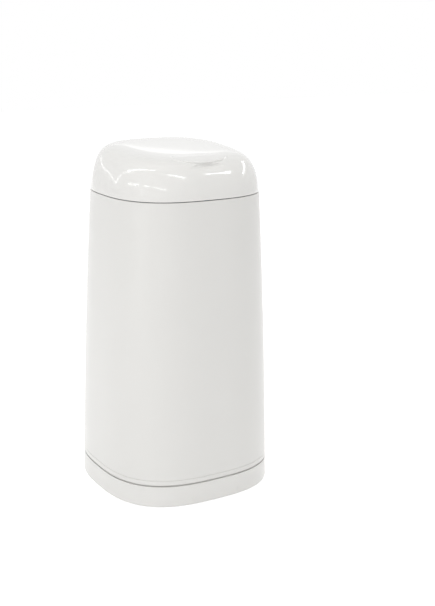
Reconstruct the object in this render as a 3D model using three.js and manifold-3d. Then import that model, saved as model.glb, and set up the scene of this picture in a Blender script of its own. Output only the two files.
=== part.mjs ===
// Nappy bin: a tapered bin with a film cassette and sprung jaws under a domed, hinged lid.
// Millimetres, +Z up, the front faces -Y, origin at the middle of the footprint.
import * as THREE from 'three';
import { mergeVertices } from 'three/addons/utils/BufferGeometryUtils.js';
import Module from 'manifold-3d';

const wasm = await Module();
wasm.setup();

// Counts of facets and of repeated pieces
const planSteps = 44;
const roundSteps = 32;
const boreSteps = 12;
const ballSteps = 20;
const filmSteps = 24;
const springSides = 5;
const springStepsPerCurl = 8;
const torsionCurls = 4;

// Body outline
const baseHeight = 31.8;
const seamHeight = 434;
const baseHalfWidth = 128.5;
const baseHalfDepth = 125.5;
const seamHalfWidth = 112.2;
const seamHalfDepth = 110.5;
const barrelShare = 0.054;
const cornerShare = 0.725;
const wallLevelShares = [0.14, 0.36, 0.6, 0.82];

// Fits shared by all pieces
const restGap = 0.3;
const slideGap = 0.4;
const cutOverrun = 2;
const seamGap = 1.2;

// Base bucket
const footDrop = 1;
const skirtWall = 3;
const footRound = 2;
const floorTop = 14.5;
const floorThick = 2.5;
const floorRound = 9;
const bucketWall = 2.4;
const bucketRimDrop = 10;
const ribThick = 2.2;
const ribLift = 4;
const ribPitch = 74;
const ledgeBevel = 0.8;

// Feet
const footRadius = 9;
const footStem = 2.6;
const footStemLength = 5;
const footPad = 3.2;
const footBoss = 11.5;
const footInsetX = 44.5;
const footInsetY = 43.5;

// Sleeve
const sleeveWall = 1.8;
const sleeveEdge = 0.5;
const hemHeight = 8;
const hemGroove = 0.5;
const notchGap = 0.7;

// Rear hinge
const hingeReach = 5.5;
const pinRadius = 2;
const knuckleRadius = 4.6;
const earOuter = 42.5;
const earInner = 35;
const headKnuckleInner = 24;
const pinHead = 3.4;
const pinHeadThick = 1.5;
const bracketProud = 1.2;
const bracketDrop = 37.5;
const bracketTopDrop = 5.4;
const bracketScrewX = 31;
const bracketScrewDrop = 29;
const bracketBoss = 4.2;
const bracketBossLength = 8;

// Screws
const screwShank = 1.4;
const screwHead = 3.2;
const screwHeadThick = 2;
const screwPilot = 1.75;

// Head frame
const frameWall = 2;
const deckThick = 2.5;
const frameTopDrop = 1;
const skirtDepth = 12;
const skirtDraft = 1.6;
const wellCentreY = 5;
const wellMargin = 16.5;
const wellDepth = 43.5;
const wellFloor = 2.7;
const cassetteWidth = 30.5;
const armDepth = 4.6;

// Head lock
const lockHalfWidth = 8;
const lockThick = 4.4;
const lockDrop = 8.4;
const lockTravel = 4.5;
const lockThumbHalf = 4;
const lockThumbThick = 2.8;
const lockThumbRise = 4.5;
const guideWall = 2;
const guideLip = 2.4;
const keeperHalfWidth = 5;
const keeperReach = 9;
const keeperThick = 3;
const keeperRise = 3;
const keeperLap = 3;

// Jaw springs
const torsionRadius = 3.5;
const torsionWire = 0.9;
const torsionPitch = 1.7;
const torsionArm = 16;

// Film cassette
const trayClear = 1.5;
const trayLap = 1;
const trayWall = 2;
const trayLift = 2;
const trayRise = 9.2;
const trayFlange = 4.5;
const trayFlangeThick = 2.2;
const capThick = 3.7;
const capOverhang = 2;
const capSkirt = 5;
const capSlit = 3;
const packTopDrop = 5;

// Film
const filmThick = 0.8;
const filmClear = 0.8;
const neckInset = 14;
const neckHalf = 0.9;
const tailLength = 66;
const knotRadius = 11;
const gatherShares = [
  { width: 0.82, depth: 1.4, drop: 0.12 },
  { width: 0.5, depth: 3, drop: 0.26 },
];
const knotShares = [
  { width: 0.9, depth: 0.5, drop: 0.42 },
  { width: 0.5, depth: 0.5, drop: 0.54 },
  { width: 1, depth: 1, drop: 0.62 },
  { width: 1, depth: 1, drop: 0.72 },
  { width: 0.5, depth: 0.5, drop: 0.8 },
  { width: 1.3, depth: 0.8, drop: 1 },
];

// Clamp housing and jaws
const housingMargin = 5.5;
const housingPinMargin = 12;
const housingWall = 2.4;
const housingDepth = 48;
const jawPinDrop = 17;
const jawPinMargin = 1.5;
const jawPinRadius = 2;
const jawBarrel = 4.3;
const jawEndRoom = 12;
const jawThick = 3;
const jawRibHeight = 5;
const jawRibThick = 2;
const jawRibPitch = 34;
const jawSpringBay = 9;
const lipGap = 1.2;
const lipDepth = 8;
const lipThick = 6.4;
const lipSeat = 1.8;
const clampScrewInset = 11;

// Film cutter
const railEndInset = 14;
const railHeight = 14;
const railDepth = 7.4;
const railWall = 2.4;
const railMouth = 4.6;
const cutterHalfLength = 9;
const cutterGrip = 5.5;
const bladeThick = 0.7;
const bladeReach = 5;
const bladeHeight = 8;

// Lid
const lidRise = 59.4;
const lidTiltShare = 0.081;
const lidWall = 2.4;
const rearShoulderShares = { plan: 0.149, rise: 2 };
const frontShoulderShares = { plan: 0.2, rise: 1.235 };
const domeLevelShares = [0.996, 0.98, 0.955, 0.92, 0.88, 0.82, 0.72, 0.45];
const innerLevelShares = [0.99, 0.965, 0.92, 0.86, 0.72];
const lipHalfLength = 42;
const lipHalfDepth = 22;
const lipPlate = 2.6;
const lipInset = 40.5;
const lipDrop = 4.9;
const lipSag = 5.5;
const lipPlaceShares = [-1, -0.45, 0.25, 0.7, 1];
const lipSagShares = [0, 0.08, 0.42, 0.73, 1];
const scoopHalfLength = 36;
const scoopHalfDepth = 14;
const scoopHalfHeight = 7.5;
const scoopInset = 9.5;
const scoopDrop = 16.2;
const lidBoss = 4.2;
const leafRise = 9;
const leafStudRadius = 1.6;
const leafStudX = 15;
const leafStudRise = 5;

// Lid liner and seal
const linerWall = 1.8;
const linerCeiling = 36;
const linerDraw = 24;
const linerDepth = 33.8;
const linerInsetShares = [0.025, 0.125, 0.583, 1];
const linerDropShares = [1, 0.533, 0.1, 0];
const sealReach = 17.5;
const sealRibWall = 2;
const sealWidth = 4.4;
const sealHeight = 4;
const sealGroove = 2.6;

// Places worked out from the sizes above
const bucketRim = seamHeight - bucketRimDrop;
const deckTop = bucketRim + restGap + deckThick;
const wellRadius = Math.min(seamHalfWidth, seamHalfDepth - wellCentreY) - wellMargin;
const throatRadius = wellRadius - cassetteWidth;
const sealRadius = throatRadius + sealReach;
const lidBottom = seamHeight + seamGap / 2;
const sleeveTop = seamHeight - seamGap / 2;
const frameTop = sleeveTop - frameTopDrop + slideGap;
const hingeY = seamHalfDepth + hingeReach;
const hingeZ = seamHeight;
const bucketInset = sleeveWall + slideGap;
const cavityInset = bucketInset + bucketWall;
const wellBottom = deckTop - wellDepth;
const trayOuter = wellRadius - trayClear;
const trayInner = throatRadius - trayLap;
const trayBottom = wellBottom + wellFloor + trayLift;
const trayTop = deckTop + trayRise;
const capTop = trayTop + restGap + capThick;
const housingHalfWidth = throatRadius + housingMargin;
const jawPinReach = throatRadius + jawPinMargin;
const housingHalfDepth = jawPinReach + housingPinMargin;
const jawHalfWidth = housingHalfWidth - jawEndRoom;
const clampScrewReach = housingHalfWidth - clampScrewInset;
const railHalfLength = housingHalfWidth - railEndInset;
const neckHalfWidth = jawHalfWidth - neckInset;
const housingTop = wellBottom - restGap;
const housingBottom = housingTop - housingDepth;
const jawPinZ = housingTop - jawPinDrop;
const linerTop = seamHeight + linerCeiling;
const railFace = wellCentreY + housingHalfDepth;
const railBottom = housingBottom + railWall;
const railMiddle = railBottom + railHeight / 2;
const lockTop = bucketRim - lockDrop;
const keeperBottom = lockTop + slideGap;
const keeperTop = keeperBottom + keeperThick + keeperRise;

// Materials, read from the photograph where it shows the piece
function plastic(colour, roughness) {
  return new THREE.MeshStandardMaterial({ color: colour, roughness, metalness: 0 });
}
const glossWhite = plastic(0xe7e6e3, 0.16);
const satinWhite = plastic(0xe3e2df, 0.35);
const baseWhite = plastic(0xe6e6e2, 0.3);
const innerGrey = plastic(0xb9bcc0, 0.45);
const jawGrey = plastic(0x8d9298, 0.5);
const softGrey = plastic(0x5c6167, 0.8);
const accentBlue = plastic(0x5f8fb0, 0.4);
const cassetteGrey = plastic(0xa4aab1, 0.5);
const filmBlue = plastic(0xbfd2e2, 0.25);
const steel = new THREE.MeshStandardMaterial({ color: 0xb4b7ba, roughness: 0.3, metalness: 1 });

// Any closed geometry as a solid, turned right side out
function toSolid(geometry) {
  const bare = geometry.index ? geometry.toNonIndexed() : geometry.clone();
  for (const name of Object.keys(bare.attributes)) {
    if (name !== 'position') bare.deleteAttribute(name);
  }
  const merged = mergeVertices(bare);
  const places = Float32Array.from(merged.attributes.position.array);
  const corners = Uint32Array.from(merged.index.array);
  if (signedVolume(places, corners) < 0) corners.reverse();
  return new wasm.Manifold(new wasm.Mesh({ numProp: 3, vertProperties: places, triVerts: corners }));
}

function signedVolume(places, corners) {
  const [a, b, c] = [new THREE.Vector3(), new THREE.Vector3(), new THREE.Vector3()];
  let volume = 0;
  for (let i = 0; i < corners.length; i += 3) {
    a.fromArray(places, 3 * corners[i]);
    b.fromArray(places, 3 * corners[i + 1]);
    c.fromArray(places, 3 * corners[i + 2]);
    volume += a.dot(b.cross(c)) / 6;
  }
  return volume;
}

// A solid as a named mesh of the scene graph
function piece(name, solid, material) {
  const { vertProperties, triVerts } = solid.getMesh();
  const geometry = new THREE.BufferGeometry();
  geometry.setAttribute('position', new THREE.BufferAttribute(Float32Array.from(vertProperties), 3));
  geometry.setIndex(Array.from(triVerts));
  geometry.computeVertexNormals();
  const mesh = new THREE.Mesh(geometry, material);
  mesh.name = name;
  return mesh;
}

// Simple solids, all placed by their real corners and axes
function block(x0, x1, y0, y1, z0, z1) {
  const box = new THREE.BoxGeometry(x1 - x0, y1 - y0, z1 - z0);
  return toSolid(box.translate((x0 + x1) / 2, (y0 + y1) / 2, (z0 + z1) / 2));
}

function pillar(radius, z0, z1, x, y, steps = boreSteps) {
  const rod = new THREE.CylinderGeometry(radius, radius, z1 - z0, steps);
  return toSolid(rod.rotateX(Math.PI / 2).translate(x, y, (z0 + z1) / 2));
}

function barAlongX(radius, x0, x1, y, z, steps = boreSteps) {
  const rod = new THREE.CylinderGeometry(radius, radius, x1 - x0, steps);
  return toSolid(rod.rotateZ(Math.PI / 2).translate((x0 + x1) / 2, y, z));
}

function barAlongY(radius, y0, y1, x, z, steps = boreSteps) {
  const rod = new THREE.CylinderGeometry(radius, radius, y1 - y0, steps);
  return toSolid(rod.translate(x, (y0 + y1) / 2, z));
}

function ellipsoid(halfX, halfY, halfZ, x, y, z) {
  const ball = new THREE.SphereGeometry(1, ballSteps, ballSteps / 2);
  return toSolid(ball.scale(halfX, halfY, halfZ).translate(x, y, z));
}

// A y-z profile pushed along X
function profileAlongX(points, x0, x1) {
  const shape = new THREE.Shape(points.map(([y, z]) => new THREE.Vector2(y, z)));
  const geometry = new THREE.ExtrudeGeometry(shape, { depth: x1 - x0, bevelEnabled: false });
  const axes = new THREE.Matrix4().makeBasis(
    new THREE.Vector3(0, 1, 0), new THREE.Vector3(0, 0, 1), new THREE.Vector3(1, 0, 0),
  );
  return toSolid(geometry.applyMatrix4(axes).translate(x0, 0, 0));
}

// An x-z profile pushed along Y
function profileAlongY(points, y0, y1) {
  const shape = new THREE.Shape(points.map(([x, z]) => new THREE.Vector2(x, -z)));
  const geometry = new THREE.ExtrudeGeometry(shape, { depth: y1 - y0, bevelEnabled: false });
  return toSolid(geometry.rotateX(-Math.PI / 2).translate(0, y0, 0));
}

// A closed radius-height profile turned about the cassette's axis
function turned(points, steps = roundSteps) {
  const loop = [...points, points[0]].map(([r, z]) => new THREE.Vector2(r, z));
  const geometry = new THREE.LatheGeometry(loop, steps);
  return toSolid(geometry.rotateX(Math.PI / 2).translate(0, wellCentreY, 0));
}

// Rings of equal point counts joined into one closed solid with a fan at each end
function loft(rings) {
  const steps = rings[0].length;
  const places = rings.flat().flatMap((p) => [p.x, p.y, p.z]);
  const corners = [];
  for (let level = 0; level + 1 < rings.length; level += 1) {
    for (let i = 0; i < steps; i += 1) {
      const low = level * steps + i;
      const next = level * steps + (i + 1) % steps;
      corners.push(low, next, next + steps, low, next + steps, low + steps);
    }
  }
  [rings[0], rings[rings.length - 1]].forEach((ring, end) => {
    const centre = ring.reduce((sum, p) => sum.add(p), new THREE.Vector3()).divideScalar(steps);
    const hub = places.length / 3;
    places.push(centre.x, centre.y, centre.z);
    const first = end === 0 ? 0 : (rings.length - 1) * steps;
    for (let i = 0; i < steps; i += 1) {
      const here = first + i;
      const next = first + (i + 1) % steps;
      corners.push(...(end === 0 ? [hub, next, here] : [hub, here, next]));
    }
  });
  const geometry = new THREE.BufferGeometry();
  geometry.setAttribute('position', new THREE.Float32BufferAttribute(places, 3));
  geometry.setIndex(corners);
  return toSolid(geometry);
}

// Body outline: half width and half depth of the outer skin at a height
function bodyHalf(z) {
  const share = (z - baseHeight) / (seamHeight - baseHeight);
  const swell = baseHalfWidth * barrelShare * share * (1 - share);
  return {
    x: baseHalfWidth + (seamHalfWidth - baseHalfWidth) * share + swell,
    y: baseHalfDepth + (seamHalfDepth - baseHalfDepth) * share + swell,
  };
}

// One point of a rounded square with the given half sizes
function squarePoint(angle, halfX, halfY, z) {
  const power = 2 / cornerShare;
  const across = Math.abs(Math.cos(angle) / halfX) ** power;
  const along = Math.abs(Math.sin(angle) / halfY) ** power;
  const radius = (across + along) ** (-1 / power);
  return new THREE.Vector3(radius * Math.cos(angle), radius * Math.sin(angle), z);
}

// How far back the outline reaches at a place x across
function bodyBack(x, z, inset) {
  const half = bodyHalf(z);
  const power = 2 / cornerShare;
  return (half.y - inset) * (1 - Math.abs(x / (half.x - inset)) ** power) ** (1 / power);
}

function planAngles() {
  return Array.from({ length: planSteps }, (_, i) => (2 * Math.PI * i) / planSteps);
}

// The body's outline at height z, drawn in by an inset
function bodyRing(z, inset = 0, outlineZ = z) {
  const half = bodyHalf(outlineZ);
  return planAngles().map((angle) => squarePoint(angle, half.x - inset, half.y - inset, z));
}

// Heights between two ends at which the barrel shape is followed
function wallLevels(bottom, top) {
  const between = wallLevelShares.map((share) => baseHeight + (seamHeight - baseHeight) * share);
  return [bottom, ...between.filter((z) => z > bottom + cutOverrun && z < top - cutOverrun), top];
}

function bodySolid(bottom, top, inset) {
  return loft(wallLevels(bottom, top).map((z) => bodyRing(z, inset)));
}

// Bucket with the flared base ring, floor, ribs, foot bosses and bracket bosses
function baseBucket() {
  const outer = loft([
    bodyRing(footDrop, footRound),
    bodyRing(footDrop + footRound),
    bodyRing(baseHeight - ledgeBevel),
    bodyRing(baseHeight, ledgeBevel),
    bodyRing(baseHeight, bucketInset),
    ...wallLevels(baseHeight, bucketRim).slice(1).map((z) => bodyRing(z, bucketInset)),
  ]);
  const inner = loft([
    bodyRing(floorTop, cavityInset + floorRound),
    bodyRing(floorTop + floorRound / 3, cavityInset + floorRound / 4),
    bodyRing(floorTop + floorRound, cavityInset),
    ...wallLevels(baseHeight, bucketRim + cutOverrun).slice(1).map((z) => bodyRing(z, cavityInset)),
  ]);
  const underside = floorTop - floorThick;
  const hollow = loft([
    bodyRing(footDrop - cutOverrun, skirtWall + footRound),
    bodyRing(underside, skirtWall + footRound),
  ]);
  let solid = outer.subtract(inner).subtract(hollow);
  solid = solid.add(baseRibs(underside).intersect(bodySolid(ribLift, floorTop, skirtWall)));
  for (const [x, y] of footPlaces()) {
    solid = solid.add(pillar(footBoss, footPad + restGap, floorTop - floorThick / 2, x, y));
    solid = solid.subtract(pillar(footStem + restGap, 0, footPad + footStemLength + 2 * restGap, x, y));
  }
  for (const side of [-1, 1]) {
    const x = side * bracketScrewX;
    const z = hingeZ - bracketScrewDrop;
    const wall = bodyBack(x, z, cavityInset);
    const boss = barAlongY(bracketBoss, wall - bracketBossLength, wall + bucketWall, x, z);
    solid = solid.add(boss.intersect(outer));
    solid = solid.subtract(barAlongY(screwPilot, wall - bracketBossLength - cutOverrun, hingeY, x, z));
  }
  return solid;
}

function baseRibs(top) {
  const reachX = baseHalfWidth;
  const reachY = baseHalfDepth;
  const half = ribThick / 2;
  const ribs = [-1, 1].flatMap((side) => {
    const place = (side * ribPitch) / 2;
    return [
      block(-reachX, reachX, place - half, place + half, ribLift, top + floorThick / 2),
      block(place - half, place + half, -reachY, reachY, ribLift, top + floorThick / 2),
    ];
  });
  return ribs.reduce((sum, rib) => sum.add(rib));
}

function footPlaces() {
  const [reachX, reachY] = [baseHalfWidth - footInsetX, baseHalfDepth - footInsetY];
  return [-1, 1].flatMap((x) => [-1, 1].map((y) => [x * reachX, y * reachY]));
}

// Rubber foot with the stem that pushes into its boss
function foot(x, y) {
  const disc = pillar(footRadius, 0, footPad, x, y, roundSteps / 2);
  return disc.add(pillar(footStem, 0, footPad + footStemLength, x, y));
}

// Outer sleeve with its hem band and the rear notch for the hinge
function sleeve() {
  const low = baseHeight + restGap;
  const hem = low + hemHeight;
  const outer = loft([
    bodyRing(low, sleeveEdge),
    bodyRing(low + sleeveEdge),
    bodyRing(hem - hemGroove),
    bodyRing(hem, hemGroove),
    bodyRing(hem + hemGroove),
    ...wallLevels(hem + hemGroove, sleeveTop - sleeveEdge).slice(1).map((z) => bodyRing(z)),
    bodyRing(sleeveTop, sleeveEdge),
  ]);
  const inner = loft([
    bodyRing(low - cutOverrun, sleeveWall),
    ...wallLevels(baseHeight, sleeveTop).slice(1, -1).map((z) => bodyRing(z, sleeveWall)),
    bodyRing(sleeveTop + cutOverrun, sleeveWall),
  ]);
  const notch = block(
    -earOuter - notchGap, earOuter + notchGap, hingeY / 2, hingeY + cutOverrun,
    hingeZ - bracketDrop - notchGap, sleeveTop + cutOverrun,
  );
  return outer.subtract(inner).subtract(notch);
}

// Knuckle ring round the shared hinge pin, before its bore
function knuckle(x0, x1) {
  return barAlongX(knuckleRadius, x0, x1, hingeY, hingeZ, roundSteps / 2);
}

function hingeBore() {
  return barAlongX(pinRadius + restGap, -earOuter - cutOverrun, earOuter + cutOverrun, hingeY, hingeZ);
}

// Bracket screwed to the bucket's back, with two ears for the pin
function hingeBracket() {
  const low = hingeZ - bracketDrop;
  const high = hingeZ - bracketTopDrop;
  const plate = bodySolid(low, high, -bracketProud)
    .subtract(bodySolid(low - cutOverrun, high + cutOverrun, bucketInset - restGap))
    .intersect(block(-earOuter, earOuter, hingeY / 2, hingeY + hingeReach, low, high));
  const root = high - 2 * armDepth;
  const ear = [
    [bodyBack(earOuter, root, 0), root],
    [hingeY + knuckleRadius * Math.cos(Math.PI / 6), hingeZ - knuckleRadius / 2],
    [hingeY, hingeZ],
    [bodyBack(earOuter, high, 0), high],
  ];
  let solid = plate;
  for (const [x0, x1] of [[-earOuter, -earInner], [earInner, earOuter]]) {
    solid = solid.add(profileAlongX(ear, x0, x1)).add(knuckle(x0, x1));
  }
  for (const side of [-1, 1]) {
    solid = solid.subtract(bracketHole(side * bracketScrewX));
  }
  return solid.subtract(hingeBore());
}

function bracketHole(x) {
  return barAlongY(screwPilot, hingeY / 2, hingeY + hingeReach, x, hingeZ - bracketScrewDrop);
}

function bracketScrew(x) {
  const z = hingeZ - bracketScrewDrop;
  const seat = bodyBack(x, z, -bracketProud) + restGap;
  return barAlongY(screwHead, seat, seat + screwHeadThick, x, z)
    .add(barAlongY(screwShank, seat - bracketBossLength - bucketWall, seat + screwHeadThick / 2, x, z));
}

function hingePin() {
  const start = -earOuter - restGap;
  const head = barAlongX(pinHead, start - pinHeadThick, start, hingeY, hingeZ);
  return head.add(barAlongX(pinRadius, start - restGap, earOuter + 2 * pinHeadThick, hingeY, hingeZ));
}

function hingePinCap() {
  const x0 = earOuter + restGap;
  const x1 = x0 + pinHeadThick;
  return barAlongX(pinHead, x0, x1, hingeY, hingeZ)
    .subtract(barAlongX(pinRadius + restGap, x0 - cutOverrun, x1 + cutOverrun, hingeY, hingeZ));
}

// Where the lock's parts stand along Y: tip of the keeper, plate edge and back end
function lockPlaces() {
  const wall = -(bodyHalf(keeperTop).y - cavityInset);
  const tip = wall + restGap + keeperReach;
  return {
    wall,
    tip,
    front: tip - keeperLap + lockTravel,
    back: wellCentreY - wellRadius - frameWall - slideGap,
    thumb: tip + lockTravel + slideGap,
  };
}

// Wedge on the bucket's inner wall that the lock's plate slides under
function lockKeeper() {
  const { wall, tip } = lockPlaces();
  return profileAlongX([
    [wall + restGap, keeperBottom], [tip, keeperBottom], [tip, keeperBottom + keeperThick],
    [wall + restGap, keeperTop],
  ], -keeperHalfWidth, keeperHalfWidth);
}

// Deck, locating skirt, cassette well, lock guide and hinge arms
function headFrame() {
  const skirtInset = cavityInset + slideGap;
  const rimInset = sleeveWall + slideGap;
  const outer = loft([
    bodyRing(bucketRim - skirtDepth, skirtInset + skirtDraft, bucketRim),
    bodyRing(bucketRim + restGap, skirtInset),
    bodyRing(bucketRim + restGap, rimInset),
    bodyRing(frameTop, rimInset),
  ]);
  const above = loft([
    bodyRing(deckTop, rimInset + frameWall),
    bodyRing(frameTop + cutOverrun, rimInset + frameWall),
  ]);
  const below = loft([
    bodyRing(bucketRim - skirtDepth - cutOverrun, skirtInset + skirtDraft + frameWall, bucketRim),
    bodyRing(bucketRim + restGap, skirtInset + frameWall),
  ]);
  const well = turned([
    [0, wellBottom], [wellRadius + frameWall, wellBottom], [wellRadius + frameWall, deckTop], [0, deckTop],
  ]);
  const wellSpace = turned([
    [0, wellBottom + wellFloor], [wellRadius, wellBottom + wellFloor],
    [wellRadius, deckTop + cutOverrun], [0, deckTop + cutOverrun],
  ]);
  let solid = outer.subtract(above).subtract(below).add(lockGuide()).add(well).subtract(wellSpace);
  const [floorLow, floorHigh] = [wellBottom - cutOverrun, wellBottom + wellFloor + cutOverrun];
  solid = solid.subtract(throatBore(floorLow, floorHigh));
  solid = solid.subtract(lockSlots());
  for (const [x, y] of clampScrewPlaces()) {
    solid = solid.subtract(pillar(screwPilot, floorLow, floorHigh, x, y));
  }
  for (const side of [-1, 1]) {
    const [x0, x1] = headKnuckleSpan(side);
    const rim = bodyBack(earInner, frameTop, rimInset + frameWall / 2);
    solid = solid.add(profileAlongX([
      [rim, hingeZ - knuckleRadius], [hingeY, hingeZ - knuckleRadius],
      [hingeY, frameTop], [rim, frameTop],
    ], x0, x1)).add(knuckle(x0, x1));
  }
  return solid.subtract(hingeBore());
}

function headKnuckleSpan(side) {
  const ends = [side * headKnuckleInner, side * (earInner - 2 * restGap)];
  return ends.sort((a, b) => a - b);
}

function throatBore(z0, z1) {
  return pillar(throatRadius, z0, z1, 0, wellCentreY, roundSteps);
}

// Walls and lips under the deck that carry the lock slider
function lockGuide() {
  const low = lockTop - lockThick - restGap;
  const high = bucketRim + restGap + deckThick / 2;
  const front = lockPlaces().front - lockTravel - slideGap;
  const back = wellCentreY - wellRadius;
  const inner = lockHalfWidth + restGap;
  const rails = [-1, 1].map((side) => {
    const [w0, w1] = [side * inner, side * (inner + guideWall)].sort((a, b) => a - b);
    const [l0, l1] = [side * (inner - guideLip), side * (inner + guideWall)].sort((a, b) => a - b);
    const wall = block(w0, w1, front, back, low - guideWall, high);
    return wall.add(block(l0, l1, front, back, low - guideWall, low));
  });
  return rails[0].add(rails[1]);
}

// Slot in the deck for the thumb piece and notch in the skirt for the keeper
function lockSlots() {
  const { thumb } = lockPlaces();
  const half = lockThumbHalf + slideGap;
  const slot = block(
    -half, half, thumb - lockTravel - slideGap, thumb + lockThumbThick + slideGap,
    bucketRim - cutOverrun, deckTop + cutOverrun,
  );
  const outside = -bodyHalf(bucketRim).y;
  const notchHalf = keeperHalfWidth + 2 * slideGap;
  const notch = block(
    -notchHalf, notchHalf, outside, outside + cavityInset + skirtDraft + frameWall + cutOverrun,
    bucketRim - skirtDepth - cutOverrun, keeperTop + slideGap,
  );
  return slot.add(notch);
}

// Lock slider: a plate that slides under the keeper, with a thumb piece up through the deck
function lockSlider() {
  const { front, back, thumb } = lockPlaces();
  const plate = block(-lockHalfWidth, lockHalfWidth, front, back, lockTop - lockThick, lockTop);
  const high = deckTop + lockThumbRise;
  const stem = profileAlongX([
    [thumb, lockTop - lockThick / 2], [thumb + lockThumbThick, lockTop - lockThick / 2],
    [thumb + lockThumbThick, high], [thumb + lockThumbThick / 2, high],
    [thumb, high - lockThumbThick / 2],
  ], -lockThumbHalf, lockThumbHalf);
  return plate.add(stem);
}

// Points of a helix about a given axis direction
function helixPoints(start, along, radius, pitch, curls) {
  const side = new THREE.Vector3(0, 0, 1);
  const other = new THREE.Vector3().crossVectors(along, side);
  return Array.from({ length: curls * springStepsPerCurl + 1 }, (_, i) => {
    const angle = (2 * Math.PI * i) / springStepsPerCurl;
    return start.clone()
      .addScaledVector(along, (pitch * i) / springStepsPerCurl)
      .addScaledVector(side, radius * Math.cos(angle))
      .addScaledVector(other, radius * Math.sin(angle));
  });
}

// Round wire along a list of points, closed at both ends
function wireAlong(points, radius) {
  const normal = new THREE.Vector3();
  const rings = points.map((point, i) => {
    const before = points[Math.max(i - 1, 0)];
    const after = points[Math.min(i + 1, points.length - 1)];
    const heading = new THREE.Vector3().subVectors(after, before).normalize();
    if (i === 0) normal.set(heading.y, heading.z, heading.x).cross(heading).normalize();
    normal.addScaledVector(heading, -normal.dot(heading)).normalize();
    const binormal = new THREE.Vector3().crossVectors(heading, normal);
    return Array.from({ length: springSides }, (_, k) => {
      const angle = (2 * Math.PI * k) / springSides;
      return point.clone()
        .addScaledVector(normal, radius * Math.cos(angle))
        .addScaledVector(binormal, radius * Math.sin(angle));
    });
  });
  return loft(rings);
}

// Least distance between the wire's turns, measured on the helix points
function leastGap(points, wire) {
  let least = Infinity;
  points.forEach((a, i) => {
    points.slice(i + springStepsPerCurl - 1).forEach((b) => {
      least = Math.min(least, a.distanceTo(b) - wire);
    });
  });
  return least;
}

function clampScrewPlaces() {
  const reach = clampScrewReach;
  return [-1, 1].flatMap((x) => [-1, 1].map((y) => [x * reach, wellCentreY + y * reach]));
}

// Open-bottomed box under the well with the jaw bearings and the cutter rail
function clampHousing() {
  const [x, y] = [housingHalfWidth, housingHalfDepth];
  const shell = block(-x, x, wellCentreY - y, wellCentreY + y, housingBottom, housingTop)
    .subtract(block(
      -x + housingWall, x - housingWall, wellCentreY - y + housingWall, wellCentreY + y - housingWall,
      housingBottom - cutOverrun, housingTop - housingWall,
    ));
  const [roofLow, roofHigh] = [housingTop - housingWall - cutOverrun, housingTop + cutOverrun];
  let solid = shell.add(cutterRail()).subtract(throatBore(roofLow, roofHigh));
  for (const side of [-1, 1]) {
    const pinY = wellCentreY + side * jawPinReach;
    for (const end of [-1, 1]) {
      const ends = [end * (x - housingWall / 2), end * (jawHalfWidth + 2 * restGap)];
      const [x0, x1] = ends.sort((a, b) => a - b);
      solid = solid.add(barAlongX(jawBarrel, x0, x1, pinY, jawPinZ));
    }
    solid = solid.subtract(barAlongX(jawPinRadius + restGap, -x - cutOverrun, x + cutOverrun, pinY, jawPinZ));
  }
  for (const [screwX, screwY] of clampScrewPlaces()) {
    solid = solid.subtract(pillar(screwPilot, roofLow, roofHigh, screwX, screwY));
  }
  return solid;
}

function clampScrew(x, y) {
  const seat = housingTop - housingWall - restGap;
  return pillar(screwHead, seat - screwHeadThick, seat, x, y)
    .add(pillar(screwShank, seat - screwHeadThick / 2, wellBottom + wellFloor - restGap, x, y));
}

// C-section rail on the back of the clamp housing
function cutterRail() {
  const [low, high] = [railBottom, railBottom + railHeight];
  const back = railFace + railDepth;
  return block(-railHalfLength, railHalfLength, railFace - housingWall / 2, back, low, high)
    .subtract(block(
      -railHalfLength - cutOverrun, railHalfLength + cutOverrun, railFace, back - railWall,
      low + railWall, high - railWall,
    ))
    .subtract(block(
      -railHalfLength - cutOverrun, railHalfLength + cutOverrun, railFace, back + cutOverrun,
      railMiddle - railMouth / 2, railMiddle + railMouth / 2,
    ));
}

function cutterRestX() {
  return -railHalfLength + cutterHalfLength + railWall;
}

// Slider with a T-shaped foot in the rail, a grip outside and a notch that feeds the film to the blade
function cutterSlider() {
  const x = cutterRestX();
  const back = railFace + railDepth;
  const [x0, x1] = [x - cutterHalfLength, x + cutterHalfLength];
  const tongue = block(
    x0, x1, railFace + slideGap, back - railWall - slideGap,
    railBottom + railWall + slideGap, railBottom + railHeight - railWall - slideGap,
  );
  const neck = block(
    x0, x1, railFace + 2 * slideGap, back + cutOverrun,
    railMiddle - railMouth / 2 + slideGap, railMiddle + railMouth / 2 - slideGap,
  );
  const grip = block(
    x0, x1, back + slideGap, back + slideGap + cutterGrip,
    railBottom - railWall, railBottom + railHeight,
  );
  const bite = profileAlongY([
    [x1 + cutOverrun, railMiddle - railMouth / 2],
    [x1 + cutOverrun, railBottom - cutOverrun / 2],
    [x, railMiddle - railMouth],
    [x, railMiddle - railMouth + cutOverrun / 2],
  ], back + slideGap + restGap / 2, back + slideGap + cutterGrip + cutOverrun);
  return tongue.add(neck).add(grip).subtract(bite).subtract(bladeSolid(restGap));
}

// Blade plate set across the slider's notch, grown by a clearance for its slot
function bladeSolid(clearance) {
  const x = cutterRestX();
  const y = railFace + railDepth + slideGap + cutterGrip / 2;
  const half = bladeThick / 2 + clearance;
  const middle = railMiddle - railMouth;
  return profileAlongY([
    [x - bladeReach / 2 - clearance, middle - bladeHeight / 2 - clearance],
    [x + bladeReach / 2 + clearance, middle - bladeHeight / 2 - clearance],
    [x + bladeReach + clearance, middle + bladeHeight / 2 + clearance],
    [x - bladeReach / 2 - clearance, middle + bladeHeight / 2 + clearance],
  ], y - half, y + half);
}

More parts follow.
